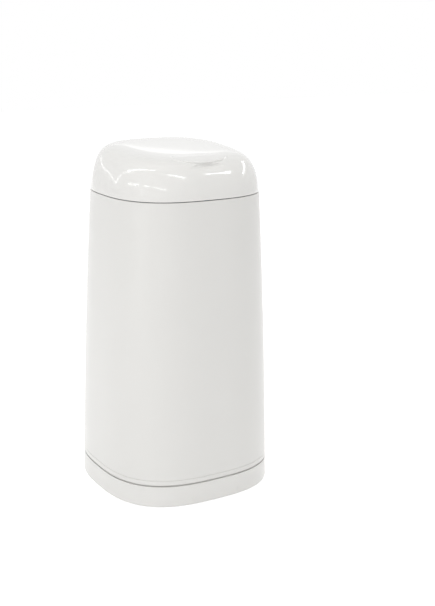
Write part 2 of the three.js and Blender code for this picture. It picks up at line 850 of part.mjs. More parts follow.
// Rear jaw: barrel on its pin, a ribbed flap and the seat of its rubber lip
function jawFlap() {
  const pinY = wellCentreY + jawPinReach;
  const tip = wellCentreY + lipGap + lipSeat;
  const top = jawPinZ + jawThick / 2;
  let solid = block(-jawHalfWidth, jawHalfWidth, tip, pinY, jawPinZ - jawThick / 2, top)
    .add(barAlongX(jawBarrel, -jawHalfWidth, jawHalfWidth, pinY, jawPinZ));
  const outer = tip + lipDepth;
  for (const side of [-1, 1]) {
    const x = side * jawRibPitch;
    solid = solid.add(profileAlongX([
      [outer, jawPinZ], [pinY, jawPinZ], [pinY - jawBarrel, jawPinZ - jawThick / 2 - jawRibHeight],
      [outer + jawRibHeight, jawPinZ - jawThick / 2 - jawRibHeight / 2],
    ], x - jawRibThick / 2, x + jawRibThick / 2));
  }
  const bay = block(
    -jawSpringBay, jawSpringBay, pinY - jawBarrel - torsionWire - slideGap, pinY + jawBarrel + cutOverrun,
    jawPinZ - jawBarrel - cutOverrun, jawPinZ + jawBarrel + cutOverrun,
  );
  return solid.subtract(bay).subtract(jawBore(pinY));
}

function jawBore(pinY) {
  const end = jawHalfWidth + cutOverrun;
  return barAlongX(jawPinRadius + restGap, -end, end, pinY, jawPinZ);
}

// Rubber lip clipped over the flap's free edge
function jawLip() {
  const near = wellCentreY + lipGap;
  const far = near + lipDepth;
  const half = lipThick / 2;
  const slot = jawThick / 2 + restGap;
  return profileAlongX([
    [near, jawPinZ - half / 2], [near + half / 2, jawPinZ - half], [far, jawPinZ - half],
    [far, jawPinZ - slot], [near + lipSeat - restGap, jawPinZ - slot],
    [near + lipSeat - restGap, jawPinZ + slot], [far, jawPinZ + slot],
    [far, jawPinZ + half], [near + half / 2, jawPinZ + half], [near, jawPinZ + half / 2],
  ], -jawHalfWidth + restGap, jawHalfWidth - restGap);
}

function jawPin() {
  const end = housingHalfWidth - restGap;
  return barAlongX(jawPinRadius, -end, end, wellCentreY + jawPinReach, jawPinZ);
}

// Torsion spring round the pin, with one arm on the housing's wall and one under the flap
function jawSpring() {
  const pinY = wellCentreY + jawPinReach;
  const width = torsionCurls * torsionPitch;
  const start = new THREE.Vector3(-width / 2, pinY, jawPinZ);
  const along = new THREE.Vector3(1, 0, 0);
  const points = helixPoints(start, along, torsionRadius, torsionPitch, torsionCurls);
  console.log('jaw spring, least gap between turns (mm):', leastGap(points, torsionWire).toFixed(2));
  const out = width / 2 + torsionPitch / 2;
  const armZ = jawPinZ - jawThick / 2 - restGap - torsionWire / 2;
  const wall = wellCentreY + housingHalfDepth - housingWall - restGap - torsionWire / 2;
  const wallArm = [
    new THREE.Vector3(-out, wall, jawPinZ + torsionRadius + torsionWire),
    new THREE.Vector3(-out, pinY + torsionWire, jawPinZ + torsionRadius),
  ];
  const flapArm = [
    new THREE.Vector3(out, pinY - torsionRadius, jawPinZ),
    new THREE.Vector3(out, pinY - torsionRadius - torsionWire, armZ),
    new THREE.Vector3(out, pinY - torsionArm, armZ),
  ];
  return wireAlong([...wallArm, ...points, ...flapArm], torsionWire / 2);
}

// Annular tub of the film cassette
function cassetteTray() {
  const [o, i] = [trayOuter, trayInner];
  return turned([
    [i, trayBottom], [o, trayBottom],
    [o, deckTop + restGap], [o + trayFlange, deckTop + restGap],
    [o + trayFlange, deckTop + restGap + trayFlangeThick], [o, deckTop + restGap + trayFlangeThick],
    [o, trayTop], [o - trayWall, trayTop], [o - trayWall, trayBottom + trayWall],
    [i + trayWall, trayBottom + trayWall], [i + trayWall, trayTop], [i, trayTop],
  ]);
}

// Ring that closes the tub but for the slit where the film comes out
function cassetteCap() {
  const inner = trayInner + trayWall + capSlit;
  const bottom = trayTop + restGap;
  const skirt = trayOuter + restGap;
  return turned([
    [inner, bottom], [skirt, bottom], [skirt, bottom - capSkirt], [skirt + capOverhang, bottom - capSkirt],
    [skirt + capOverhang, capTop - capOverhang / 2], [skirt + capOverhang / 2, capTop],
    [inner + capOverhang / 2, capTop], [inner, capTop - capOverhang / 2],
  ]);
}

// Folded film stored in the tub
function filmPack() {
  const inner = trayInner + trayWall + restGap;
  const outer = trayOuter - trayWall - restGap;
  const top = trayTop - packTopDrop;
  return turned([
    [inner, trayBottom + trayWall + restGap], [outer, trayBottom + trayWall + restGap],
    [outer, top - packTopDrop], [outer - packTopDrop / 2, top],
    [inner + packTopDrop / 2, top], [inner, top - packTopDrop],
  ]);
}

// Film from the slit over the tub's rim, down the throat, through the jaws to its knotted tail
function filmTube() {
  const side = (halfX, halfY, z) => Array.from({ length: filmSteps }, (_, i) => {
    const angle = (2 * Math.PI * i) / filmSteps;
    return new THREE.Vector3(halfX * Math.cos(angle), wellCentreY + halfY * Math.sin(angle), z);
  });
  const round = (radius, z) => side(radius, radius, z);
  const outer = trayInner + trayWall + filmClear;
  const over = trayTop + filmClear;
  const inner = trayInner - filmClear;
  const funnelTop = housingTop - housingWall;
  const lipTop = jawPinZ + lipThick / 2;
  const lipBottom = jawPinZ - lipThick / 2;
  const gather = gatherShares.map(({ width, depth, drop }) => side(
    neckHalfWidth * width, neckHalf * depth, lipBottom - tailLength * drop,
  ));
  const knot = knotShares.map(({ width, depth, drop }) => side(
    knotRadius * width, knotRadius * depth, lipBottom - tailLength * drop,
  ));
  const within = [
    round(inner - filmThick - neckHalfWidth, lipTop + 3 * filmThick + filmClear),
    side(inner - filmThick - neckHalfWidth / 3, inner - filmThick - neckHalfWidth, lipTop + 4 * filmThick),
    round(inner - 2 * filmThick, funnelTop),
    round(inner - filmThick, trayBottom),
    round(inner - filmThick, over - filmThick),
    round(inner + filmThick / 2, over + filmThick),
    round(outer, over + filmThick),
    round(outer + filmThick, over),
    round(outer + filmThick, trayTop - packTopDrop + filmClear),
  ];
  const without = [
    round(outer, trayTop - packTopDrop + filmClear),
    round(outer, over - filmThick / 2),
    round(outer - filmThick / 2, over),
    round(inner + filmThick, over),
    round(inner, over - filmThick),
    round(inner, trayBottom),
    round(inner - filmThick, funnelTop),
    side(neckHalfWidth + 4 * filmThick, neckHalfWidth / 2, lipTop + 3 * filmThick),
    side(neckHalfWidth, neckHalf, lipTop),
    side(neckHalfWidth, neckHalf, lipBottom),
  ];
  return loft([...within, ...without, ...gather, ...knot]);
}

// Dome outline at one level, tight at the back and rounder at the front
function domeRing(levelShare, inset, rise) {
  return planAngles().map((angle) => {
    const front = (1 - Math.sin(angle)) / 2;
    const planPower = 2 / THREE.MathUtils.lerp(rearShoulderShares.plan, frontShoulderShares.plan, front);
    const risePower = 2 / THREE.MathUtils.lerp(rearShoulderShares.rise, frontShoulderShares.rise, front);
    const height = (1 - levelShare ** planPower) ** (1 / risePower);
    const point = squarePoint(
      angle, levelShare * (seamHalfWidth - inset), levelShare * (seamHalfDepth - inset), 0,
    );
    point.z = seamHeight + (rise + lidTiltShare * point.y) * height;
    return point;
  });
}

function domeSolid(levelShares, inset, bottom, edge = 0) {
  const rings = levelShares.map((share) => domeRing(share, inset, lidRise - inset));
  const skirt = (z, extra) => planAngles().map(
    (angle) => squarePoint(angle, seamHalfWidth - inset - extra, seamHalfDepth - inset - extra, z),
  );
  const foot = edge > 0 ? [skirt(bottom, edge), skirt(bottom + edge, 0)] : [skirt(bottom, 0)];
  return loft([...foot, ...rings]);
}

function scoopSolid(grow) {
  return ellipsoid(
    scoopHalfLength + grow, scoopHalfDepth + grow, scoopHalfHeight + grow,
    0, scoopInset - seamHalfDepth, seamHeight + lidRise - scoopDrop,
  );
}

// Oval plate that carries the dome's top forward over the scoop
function fingerLip() {
  const middle = lipInset - seamHalfDepth;
  const top = seamHeight + lidRise - lipDrop;
  const upper = lipPlaceShares.map((place, i) => [
    middle - lipHalfDepth * place, top - lipSag * lipSagShares[i],
  ]);
  const lower = upper.map(([y, z]) => [y, z - lipPlate]).reverse();
  const oval = pillar(1, top - 2 * lipSag, top + lipSag, 0, 0, planSteps)
    .scale([lipHalfLength, lipHalfDepth, 1]).translate([0, middle, 0]);
  return profileAlongX([...upper, ...lower], -lipHalfLength, lipHalfLength).intersect(oval);
}

// Domed lid with finger lip, scoop, screw bosses and holes for the hinge leaf's studs
function lidShell() {
  const dome = domeSolid(domeLevelShares, 0, lidBottom, sleeveEdge);
  const inner = domeSolid(innerLevelShares, lidWall, lidBottom - cutOverrun).subtract(scoopSolid(lidWall));
  let solid = dome.subtract(scoopSolid(0)).add(fingerLip()).subtract(inner);
  for (const [x, y] of lidBossPlaces()) {
    const boss = pillar(lidBoss, linerTop + restGap, seamHeight + 2 * lidRise, x, y).intersect(dome);
    const pilotTop = linerTop + 5 * screwHeadThick;
    solid = solid.add(boss).subtract(pillar(screwPilot, linerTop - cutOverrun, pilotTop, x, y));
  }
  for (const side of [-1, 1]) {
    solid = solid.subtract(leafStud(side, leafStudRadius + restGap, hingeY / 2));
  }
  return solid;
}

function leafStud(side, radius, start) {
  return barAlongY(radius, start, hingeY - knuckleRadius / 2, side * leafStudX, lidBottom + leafStudRise);
}

// Hinge leaf on the dome's rear wall, staked through it by two studs, with the knuckle for the pin
function lidHingeLeaf() {
  const half = headKnuckleInner - 2 * restGap;
  const reach = bodyBack(half, seamHeight, lidWall);
  const [slope, slopeTop] = [knuckleRadius * Math.cos(Math.PI / 4), knuckleRadius * Math.sin(Math.PI / 4)];
  let solid = profileAlongX([
    [reach, lidBottom], [hingeY, lidBottom], [hingeY + slope, hingeZ + slopeTop],
    [reach + 2 * lidWall, lidBottom + leafRise], [reach, lidBottom + leafRise],
  ], -half, half).subtract(domeSolid(domeLevelShares, -restGap, lidBottom - cutOverrun));
  for (const side of [-1, 1]) {
    solid = solid.add(leafStud(side, leafStudRadius, reach + restGap));
  }
  return solid.add(knuckle(-half, half)).subtract(hingeBore());
}

function lidBossPlaces() {
  const reach = (sealRadius - sealWidth / 2 - screwHead - restGap) * Math.SQRT1_2;
  return [-1, 1].flatMap((x) => [-1, 1].map((y) => [x * reach, wellCentreY + y * reach]));
}

function linerRings(thickness) {
  return linerInsetShares.map((share, i) => {
    const all = linerDraw * share + lidWall + thickness;
    const z = linerTop - linerDepth * linerDropShares[i] - thickness;
    return planAngles().map((angle) => squarePoint(angle, seamHalfWidth - all, seamHalfDepth - all, z));
  });
}

// Liner tray under the dome, with the rib that presses the seal on the cassette
function lidLiner() {
  const outer = loft(linerRings(0));
  const inner = loft(linerRings(linerWall));
  const low = linerTop - linerDepth;
  const ribBottom = capTop + restGap + sealHeight - sealGroove + restGap;
  const rib = turned([
    [sealRadius - sealRibWall / 2, ribBottom], [sealRadius + sealRibWall / 2, ribBottom],
    [sealRadius + sealRibWall / 2, linerTop], [sealRadius - sealRibWall / 2, linerTop],
  ]);
  const open = block(-seamHalfWidth, seamHalfWidth, -seamHalfDepth, seamHalfDepth, low - cutOverrun, low);
  let solid = outer.subtract(inner).subtract(open).add(rib.intersect(outer));
  for (const [x, y] of lidBossPlaces()) {
    solid = solid.subtract(pillar(screwPilot, linerTop - 3 * linerWall, linerTop + cutOverrun, x, y));
  }
  return solid;
}

function linerScrew(x, y) {
  const seat = linerTop - linerWall - restGap;
  return pillar(screwHead, seat - screwHeadThick, seat, x, y)
    .add(pillar(screwShank, seat - screwHeadThick / 2, linerTop + 4 * screwHeadThick, x, y));
}

// Rubber ring pushed on the liner's rib
function lidSeal() {
  const [inner, outer] = [sealRadius - sealWidth / 2, sealRadius + sealWidth / 2];
  const low = capTop + restGap;
  const high = low + sealHeight;
  const slot = sealRibWall / 2 + restGap;
  return turned([
    [inner, low], [outer, low], [outer, high], [sealRadius + slot, high],
    [sealRadius + slot, high - sealGroove], [sealRadius - slot, high - sealGroove],
    [sealRadius - slot, high], [inner, high],
  ]);
}

// The scene graph: one group for each body that moves by itself
function baseGroup() {
  const group = new THREE.Group();
  group.add(piece('base_bucket', baseBucket(), baseWhite), piece('sleeve', sleeve(), satinWhite));
  footPlaces().forEach(([x, y], i) => group.add(piece(`foot_${i + 1}`, foot(x, y), softGrey)));
  group.add(piece('hinge_bracket', hingeBracket(), baseWhite));
  [-1, 1].forEach((side, i) => {
    group.add(piece(`bracket_screw_${i + 1}`, bracketScrew(side * bracketScrewX), steel));
  });
  group.add(piece('lock_keeper', lockKeeper(), baseWhite));
  return group;
}

function headGroup() {
  const group = new THREE.Group();
  group.add(
    piece('head_frame', headFrame(), innerGrey),
    piece('clamp_housing', clampHousing(), innerGrey),
    piece('hinge_pin', hingePin(), steel),
    piece('hinge_pin_cap', hingePinCap(), steel),
    piece('lock_slider', lockSlider(), accentBlue),
    piece('cutter_slider', cutterSlider(), accentBlue),
    piece('cutter_blade', bladeSolid(0), steel),
    piece('cassette_tray', cassetteTray(), cassetteGrey),
    piece('cassette_cap', cassetteCap(), cassetteGrey),
    piece('film_pack', filmPack(), filmBlue),
    piece('film_tube', filmTube(), filmBlue),
  );
  clampScrewPlaces().forEach(([x, y], i) => {
    group.add(piece(`clamp_screw_${i + 1}`, clampScrew(x, y), steel));
  });
  return group;
}

// One jaw with its lip, pin and spring; the front one is the rear one turned half round
function jawGroup(name, turn) {
  const group = new THREE.Group();
  const inner = new THREE.Group();
  inner.add(
    piece(`jaw_${name}`, jawFlap(), jawGrey),
    piece(`jaw_lip_${name}`, jawLip(), softGrey),
    piece(`jaw_pin_${name}`, jawPin(), steel),
    piece(`jaw_spring_${name}`, jawSpring(), steel),
  );
  inner.position.y = -wellCentreY;
  group.add(inner);
  group.rotation.z = turn;
  group.position.y = wellCentreY;
  return group;
}

function lidGroup() {
  const group = new THREE.Group();
  group.add(
    piece('lid_shell', lidShell(), glossWhite),
    piece('lid_hinge_leaf', lidHingeLeaf(), glossWhite),
    piece('lid_liner', lidLiner(), innerGrey),
    piece('lid_seal', lidSeal(), softGrey),
  );
  lidBossPlaces().forEach(([x, y], i) => group.add(piece(`liner_screw_${i + 1}`, linerScrew(x, y), steel)));
  return group;
}

const nappyBin = new THREE.Group();
nappyBin.add(baseGroup(), headGroup(), jawGroup('rear', 0), jawGroup('front', Math.PI), lidGroup());

export default nappyBin;
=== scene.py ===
"""Looks of a free-standing nappy bin: glossy domed lid, sleeve, inner bucket and film clamp.

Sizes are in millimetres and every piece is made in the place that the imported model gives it.
"""
import logging
import math
from dataclasses import dataclass, field
from enum import Enum
from typing import Callable, Iterable, Sequence

import bmesh
import bpy
import numpy as np
from mathutils import Matrix, Vector


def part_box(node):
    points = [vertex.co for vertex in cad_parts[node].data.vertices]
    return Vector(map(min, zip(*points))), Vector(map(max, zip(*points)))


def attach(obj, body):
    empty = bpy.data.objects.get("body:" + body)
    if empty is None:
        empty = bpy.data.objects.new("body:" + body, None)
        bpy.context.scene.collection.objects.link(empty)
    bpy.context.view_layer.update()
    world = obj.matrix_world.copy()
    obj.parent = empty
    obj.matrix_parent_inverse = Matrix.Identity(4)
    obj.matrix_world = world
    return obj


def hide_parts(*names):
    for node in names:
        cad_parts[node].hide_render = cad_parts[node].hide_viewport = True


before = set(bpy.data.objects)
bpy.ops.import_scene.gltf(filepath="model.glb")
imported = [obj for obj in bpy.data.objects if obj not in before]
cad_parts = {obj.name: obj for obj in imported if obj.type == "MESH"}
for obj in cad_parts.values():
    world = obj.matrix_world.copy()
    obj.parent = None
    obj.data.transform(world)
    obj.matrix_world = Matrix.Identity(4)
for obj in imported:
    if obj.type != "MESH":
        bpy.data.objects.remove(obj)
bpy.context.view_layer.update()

MM = 0.001
log = logging.getLogger("nappy_bin")

Point = tuple[float, float]
Triple = tuple[float, float, float]
Socket = bpy.types.NodeSocket


# Nodes and finishes

class Nodes:
    """Adds and joins the nodes of one tree."""

    def __init__(self, tree: bpy.types.NodeTree) -> None:
        """Empties the tree."""
        self.tree = tree
        tree.nodes.clear()

    def add(
        self, kind: str, inputs: dict[str | int, object] | None = None, **settings: object,
    ) -> bpy.types.Node:
        """Adds a node.

        Args:
            kind: the node's type.
            inputs: the socket or value that each input takes.
            settings: its properties.

        Returns:
            The node.
        """
        node = self.tree.nodes.new(kind)
        for key, value in settings.items():
            setattr(node, key, value)
        for key, value in (inputs or {}).items():
            if isinstance(value, Socket):
                self.tree.links.new(value, node.inputs[key])
            else:
                node.inputs[key].default_value = value
        return node


class Slot(Enum):
    """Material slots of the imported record."""

    LID = "lid_gloss"
    SLEEVE = "sleeve_satin"
    BASE = "base_gloss"
    INNER = "inner_grey"
    JAW = "jaw_grey"
    SOFT = "soft_grey"
    ACCENT = "accent_blue"
    CASSETTE = "cassette_grey"
    FILM = "film"
    STEEL = "steel"


def linear(code: str) -> Triple:
    """Turns a written colour into linear light, by the standard curve of screens.

    Args:
        code: six hexadecimal digits.

    Returns:
        Linear red, green and blue from 0 to 1.
    """
    shares = [int(code[i:i + 2], 16) / 255 for i in (0, 2, 4)]
    return tuple(s / 12.92 if s <= 0.04045 else ((s + 0.055) / 1.055) ** 2.4 for s in shares)


@dataclass(frozen=True)
class Noise:
    """Noise in a piece's own coordinates.

    Attributes:
        scale: waves in a metre.
        detail: number of finer layers.
        stretch: scale along each axis.
    """

    scale: float
    detail: float = 2.0
    stretch: Triple = (1.0, 1.0, 1.0)


class Shader(Nodes):
    """Builds the nodes of one material around its surface shader.

    Attributes:
        usual: span in which most values of a noise lie.
    """

    usual: Point = (0.3, 0.7)

    def __init__(self, slot: Slot) -> None:
        """Starts the material of a slot.

        Args:
            slot: the material's slot.
        """
        self.material = bpy.data.materials.new(slot.value)
        self.material.use_nodes = True
        super().__init__(self.material.node_tree)
        output = self.add("ShaderNodeOutputMaterial")
        self.surface = self.add("ShaderNodeBsdfPrincipled")
        self.tree.links.new(self.surface.outputs["BSDF"], output.inputs["Surface"])
        self.place = self.add("ShaderNodeTexCoord").outputs["Object"]

    def noise(self, kind: Noise) -> Socket:
        """Adds a noise.

        Args:
            kind: the noise.

        Returns:
            The socket of its value.
        """
        place = self.add("ShaderNodeMapping", {"Vector": self.place, "Scale": kind.stretch})
        inputs = {"Vector": place.outputs["Vector"], "Scale": kind.scale, "Detail": kind.detail}
        return self.add("ShaderNodeTexNoise", inputs).outputs["Fac"]

    def spread(self, value: Socket, ends: Point) -> Socket:
        """Maps the usual span of a noise to another one.

        Args:
            value: the noise.
            ends: values at the span's low and high end.

        Returns:
            The mapped value's socket.
        """
        names = ("From Min", "From Max", "To Min", "To Max")
        inputs = {"Value": value, **dict(zip(names, (*self.usual, *ends)))}
        return self.add("ShaderNodeMapRange", inputs).outputs["Result"]

    def tint(self, value: Socket, code: str, shades: Point) -> None:
        """Colours the surface between two shades of a colour.

        Args:
            value: the noise that mixes the shades.
            code: the written colour.
            shades: factors of the dark and the light shade.
        """
        mixed = self.spread(value, (0.0, 1.0))
        dark, light = ((*(min(c * shade, 1.0) for c in linear(code)), 1.0) for shade in shades)
        node = self.add("ShaderNodeMix", {"Factor": mixed, "A": dark, "B": light}, data_type="RGBA")
        self.join("Base Color", node.outputs["Result"])

    def bump(self, layers: Iterable[tuple[Socket, float]]) -> None:
        """Lays bumps over each other.

        Args:
            layers: each height's socket and its depth in metres.
        """
        below: dict[str | int, object] = {}
        for height, depth in layers:
            inputs = {"Strength": 1.0, "Distance": depth, "Height": height, **below}
            below = {"Normal": self.add("ShaderNodeBump", inputs).outputs["Normal"]}
        self.join("Normal", below["Normal"])

    def join(self, name: str, value: Socket) -> None:
        """Joins a socket to an input of the surface shader."""
        self.tree.links.new(value, self.surface.inputs[name])

    def fix(self, **values: float) -> None:
        """Sets inputs of the surface shader that are the same all over."""
        for key, value in values.items():
            self.surface.inputs[key.replace("_", " ")].default_value = value


@dataclass(frozen=True)
class Plastic:
    """Moulded plastic with soft sink waves, fine grain and a slightly uneven gloss.

    Attributes:
        slot: the record's slot.
        code: written colour.
        roughness: middle roughness.
        coat: weight of the clear outer gloss.
        polish: roughness of the outer gloss.
        wave: depth of the long sink waves in metres.
        grain: depth of the fine grain in metres.
        shades: factors of its darkest and lightest shade.
        sheen: lowest and highest share of the middle roughness.
        clouds: where the shades lie.
        smudges: where the gloss is uneven.
        grit: the fine grain.
        sinks: the long waves, stretched upwards.
    """

    slot: Slot
    code: str
    roughness: float
    coat: float = 0.0
    polish: float = 0.03
    wave: float = 0.0
    grain: float = 0.000006
    shades: Point = (0.992, 1.004)
    sheen: Point = (0.95, 1.06)
    clouds: Noise = Noise(5.0, 3.0)
    smudges: Noise = Noise(38.0, 4.0)
    grit: Noise = Noise(900.0, 1.0)
    sinks: Noise = Noise(9.0, 0.0, (1.0, 1.0, 0.45))

    def build(self) -> bpy.types.Material:
        """Makes the material."""
        shader = Shader(self.slot)
        shader.tint(shader.noise(self.clouds), self.code, self.shades)
        ends = tuple(self.roughness * share for share in self.sheen)
        shader.join("Roughness", shader.spread(shader.noise(self.smudges), ends))
        layers = [(shader.noise(self.grit), self.grain)]
        if self.wave > 0:
            layers.insert(0, (shader.noise(self.sinks), self.wave))
        shader.bump(layers)
        shader.fix(Coat_Weight=self.coat, Coat_Roughness=self.polish, IOR=1.48)
        return shader.material


@dataclass(frozen=True)
class Rubber:
    """Soft moulded rubber, matt with a fine pitted skin.

    Attributes:
        slot: the record's slot.
        code: written colour.
        roughness: lowest and highest roughness.
        shades: factors of its darkest and lightest shade.
        depth: depth of the pits in metres.
        clouds: where the shades lie.
        smudges: where the gloss is uneven.
        pits: the pitted skin.
    """

    slot: Slot
    code: str
    roughness: Point = (0.68, 0.84)
    shades: Point = (0.9, 1.08)
    depth: float = 0.00003
    clouds: Noise = Noise(60.0, 4.0)
    smudges: Noise = Noise(200.0)
    pits: Noise = Noise(1400.0)

    def build(self) -> bpy.types.Material:
        """Makes the material."""
        shader = Shader(self.slot)
        shader.tint(shader.noise(self.clouds), self.code, self.shades)
        shader.join("Roughness", shader.spread(shader.noise(self.smudges), self.roughness))
        shader.bump([(shader.noise(self.pits), self.depth)])
        shader.fix(Specular_IOR_Level=0.35)
        return shader.material


@dataclass(frozen=True)
class Metal:
    """Drawn or zinc-plated steel with fine lines along X.

    Attributes:
        slot: the record's slot.
        code: written colour.
        roughness: lowest and highest roughness.
        shades: factors of its darkest and lightest shade.
        depth: depth of the lines in metres.
        lines: the drawn lines.
        clouds: where the shades lie.
    """

    slot: Slot
    code: str
    roughness: Point = (0.29, 0.42)
    shades: Point = (0.86, 1.0)
    depth: float = 0.000008
    lines: Noise = Noise(700.0, 3.0, (0.08, 1.0, 1.0))
    clouds: Noise = Noise(240.0, 3.0)

    def build(self) -> bpy.types.Material:
        """Makes the material."""
        shader = Shader(self.slot)
        lines = shader.noise(self.lines)
        shader.tint(shader.noise(self.clouds), self.code, self.shades)
        shader.join("Roughness", shader.spread(lines, self.roughness))
        shader.bump([(lines, self.depth)])
        shader.fix(Metallic=1.0)
        return shader.material


@dataclass(frozen=True)
class Film:
    """Thin tinted film that lets some light through, with a crinkled skin and painted shade in the
    crinkles' hollows.

    Attributes:
        slot: the record's slot.
        code: written colour.
        roughness: lowest and highest roughness.
        shades: factors of its darkest and lightest tone; the darkest is painted shade in the
            crinkles' hollows.
        cover: lowest and highest share of the light that it holds back.
        depth: depth of the crinkles in metres.
        crinkles: the crinkled skin, whose hollows also get painted shade.
        veil: where it holds back more light.
    """

    slot: Slot
    code: str
    roughness: Point = (0.29, 0.4)
    shades: Point = (0.9, 1.0)
    cover: Point = (0.72, 0.9)
    depth: float = 0.0003
    crinkles: Noise = Noise(130.0, 5.0, (1.0, 1.0, 0.5))
    veil: Noise = Noise(55.0)

    def build(self) -> bpy.types.Material:
        """Makes the material."""
        shader = Shader(self.slot)
        crinkles = shader.noise(self.crinkles)
        # painted shade: the colour darkens where the crinkle noise is low, in the hollows of the
        # bump
        shader.tint(crinkles, self.code, self.shades)
        shader.join("Roughness", shader.spread(crinkles, self.roughness))
        shader.join("Alpha", shader.spread(shader.noise(self.veil), self.cover))
        shader.bump([(crinkles, self.depth)])
        shader.fix(IOR=1.5)
        return shader.material


FINISHES = (
    Plastic(Slot.LID, "E7E6E3", 0.13, coat=0.7, polish=0.012, wave=0.0001),
    Plastic(Slot.SLEEVE, "E3E2DF", 0.31, coat=0.15, wave=0.0003),
    Plastic(Slot.BASE, "E4E3E0", 0.3, coat=0.15, wave=0.0003),
    Plastic(Slot.INNER, "B9BCC0", 0.45, grain=0.00003),
    Plastic(Slot.JAW, "8D9298", 0.5, grain=0.00003),
    Plastic(Slot.ACCENT, "5F8FB0", 0.38, grain=0.00002),
    Plastic(Slot.CASSETTE, "A4AAB1", 0.48, grain=0.00003),
    Rubber(Slot.SOFT, "5C6167"),
    Film(Slot.FILM, "BFD2E2"),
    Metal(Slot.STEEL, "B4B7BA"),
)


# Meshes

CORNERS = ((-1, -1), (1, -1), (1, 1), (-1, 1))
MERGE = 0.004
FINE_MERGE = 0.002


def smooth(piece: bpy.types.Object, degrees: float = 38.0) -> bpy.types.Object:
    """Shades a piece smooth but for edges sharper than an angle.

    Args:
        piece: the piece.
        degrees: the angle.

    Returns:
        The same piece.
    """
    mesh = piece.data
    mesh.polygons.foreach_set("use_smooth", [True] * len(mesh.polygons))
    mesh.set_sharp_from_angle(angle=math.radians(degrees))
    return piece


def raw_piece(
    name: str, points: Iterable[Sequence[float]], faces: Sequence[Sequence[int]] = (),
) -> bpy.types.Object:
    """Makes an object of points in millimetres, as they are.

    Args:
        name: the piece's name.
        points: its corners.
        faces: corner numbers of each face.

    Returns:
        The object.
    """
    mesh = bpy.data.meshes.new(name)
    mesh.from_pydata([[v * MM for v in point] for point in points], [], [list(f) for f in faces])
    piece = bpy.data.objects.new(name, mesh)
    bpy.context.scene.collection.objects.link(piece)
    return piece


def new_piece(
    name: str, points: np.ndarray, faces: Sequence[Sequence[int]],
) -> bpy.types.Object:
    """Makes an object of points in millimetres, with doubles merged and faces outwards.

    Args:
        name: the piece's name.
        points: its corners.
        faces: corner numbers of each face.

    Returns:
        The object.
    """
    piece = raw_piece(name, np.asarray(points, float), faces)
    work = bmesh.new()
    work.from_mesh(piece.data)
    bmesh.ops.remove_doubles(work, verts=work.verts, dist=MERGE * MM)
    bmesh.ops.recalc_face_normals(work, faces=work.faces)
    work.to_mesh(piece.data)
    work.free()
    return smooth(piece)


def discard(*pieces: bpy.types.Object) -> None:
    """Removes pieces and their meshes."""
    for piece in pieces:
        mesh = piece.data
        bpy.data.objects.remove(piece)
        bpy.data.meshes.remove(mesh)


def band(rows: int, columns: int) -> list[tuple[int, ...]]:
    """Faces of a grid of points whose rows close on themselves.

    Args:
        rows: number of rows.
        columns: points in a row.

    Returns:
        Four corner numbers for each face.
    """
    return [
        (r * columns + c, r * columns + (c + 1) % columns,
         (r + 1) * columns + (c + 1) % columns, (r + 1) * columns + c)
        for r in range(rows - 1) for c in range(columns)
    ]


def loft(name: str, rings: Sequence[np.ndarray]) -> bpy.types.Object:
    """Closed skin through rings of equal length, with a pole in the middle of each end.

    Args:
        name: the piece's name.
        rings: the rings in order.

    Returns:
        The object.
    """
    columns = len(rings[0])
    points = np.concatenate([*rings, [rings[0].mean(0)], [rings[-1].mean(0)]])
    faces = band(len(rings), columns)
    low, high = len(points) - 2, len(points) - 1
    last = (len(rings) - 1) * columns
    for c in range(columns):
        after = (c + 1) % columns
        faces.append((low, after, c))
        faces.append((high, last + c, last + after))
    return new_piece(name, points, faces)


def ring_loft(name: str, rings: Sequence[np.ndarray]) -> bpy.types.Object:
    """Closed skin through rings, the last of which joins the first.

    Args:
        name: the piece's name.
        rings: the rings in order.

    Returns:
        The object.
    """
    columns = len(rings[0])
    faces = band(len(rings), columns)
    last = (len(rings) - 1) * columns
    for c in range(columns):
        after = (c + 1) % columns
        faces.append((last + c, last + after, after, c))
    return new_piece(name, np.concatenate(list(rings)), faces)


def bar(name: str, section: Sequence[Point], low: float, high: float) -> bpy.types.Object:
    """Straight bar along X with a section of y and z, from one x to the other."""
    return loft(name, [np.array([(x, y, z) for y, z in section]) for x in (low, high)])


def box_section(left: float, right: float, low: float, high: float) -> list[Point]:
    """Corners of an upright rectangle."""
    return [(left, low), (right, low), (right, high), (left, high)]


def rounded(
    corners: Sequence[Point], radius: float, steps: int = 4, closed: bool = True,
) -> list[Point]:
    """Rounds the corners of a section.

    Args:
        corners: the section's corners.
        radius: how far along each edge the rounding starts, if the edge is long enough.
        steps: points on each rounding.
        closed: whether the section closes on itself.

    Returns:
        The rounded section.
    """
    most = 0.45
    result: list[Point] = []
    count = len(corners)
    for i, corner in enumerate(corners):
        if not closed and i in (0, count - 1):
            result.append(tuple(corner))
            continue
        here = np.array(corner, float)
        before = np.array(corners[i - 1], float) - here
        after = np.array(corners[(i + 1) % count], float) - here
        lengths = np.linalg.norm(before), np.linalg.norm(after)
        reach = min(radius, *(most * length for length in lengths))
        start = here + before / lengths[0] * reach
        end = here + after / lengths[1] * reach
        for s in np.linspace(0, 1, steps):
            result.append(tuple((1 - s) ** 2 * start + 2 * s * (1 - s) * here + s * s * end))
    return result


def turns(steps: int) -> np.ndarray:
    """Even directions of a full turn."""
    return np.arange(steps) * 2 * math.pi / steps


def quarter(steps: int) -> np.ndarray:
    """Even angles of a quarter turn, with both ends."""
    return np.linspace(0, math.pi / 2, steps)


def upright(
    angles: np.ndarray, reach: np.ndarray | float, z: np.ndarray | float, centre: Point = (0, 0),
) -> np.ndarray:
    """Points round an upright axis.

    Args:
        angles: their directions.
        reach: their distances from the axis.
        z: their heights.
        centre: x and y of the axis.

    Returns:
        The points.
    """
    x, y = centre[0] + reach * np.cos(angles), centre[1] + reach * np.sin(angles)
    return np.stack([x, y, np.broadcast_to(z, angles.shape)], 1)


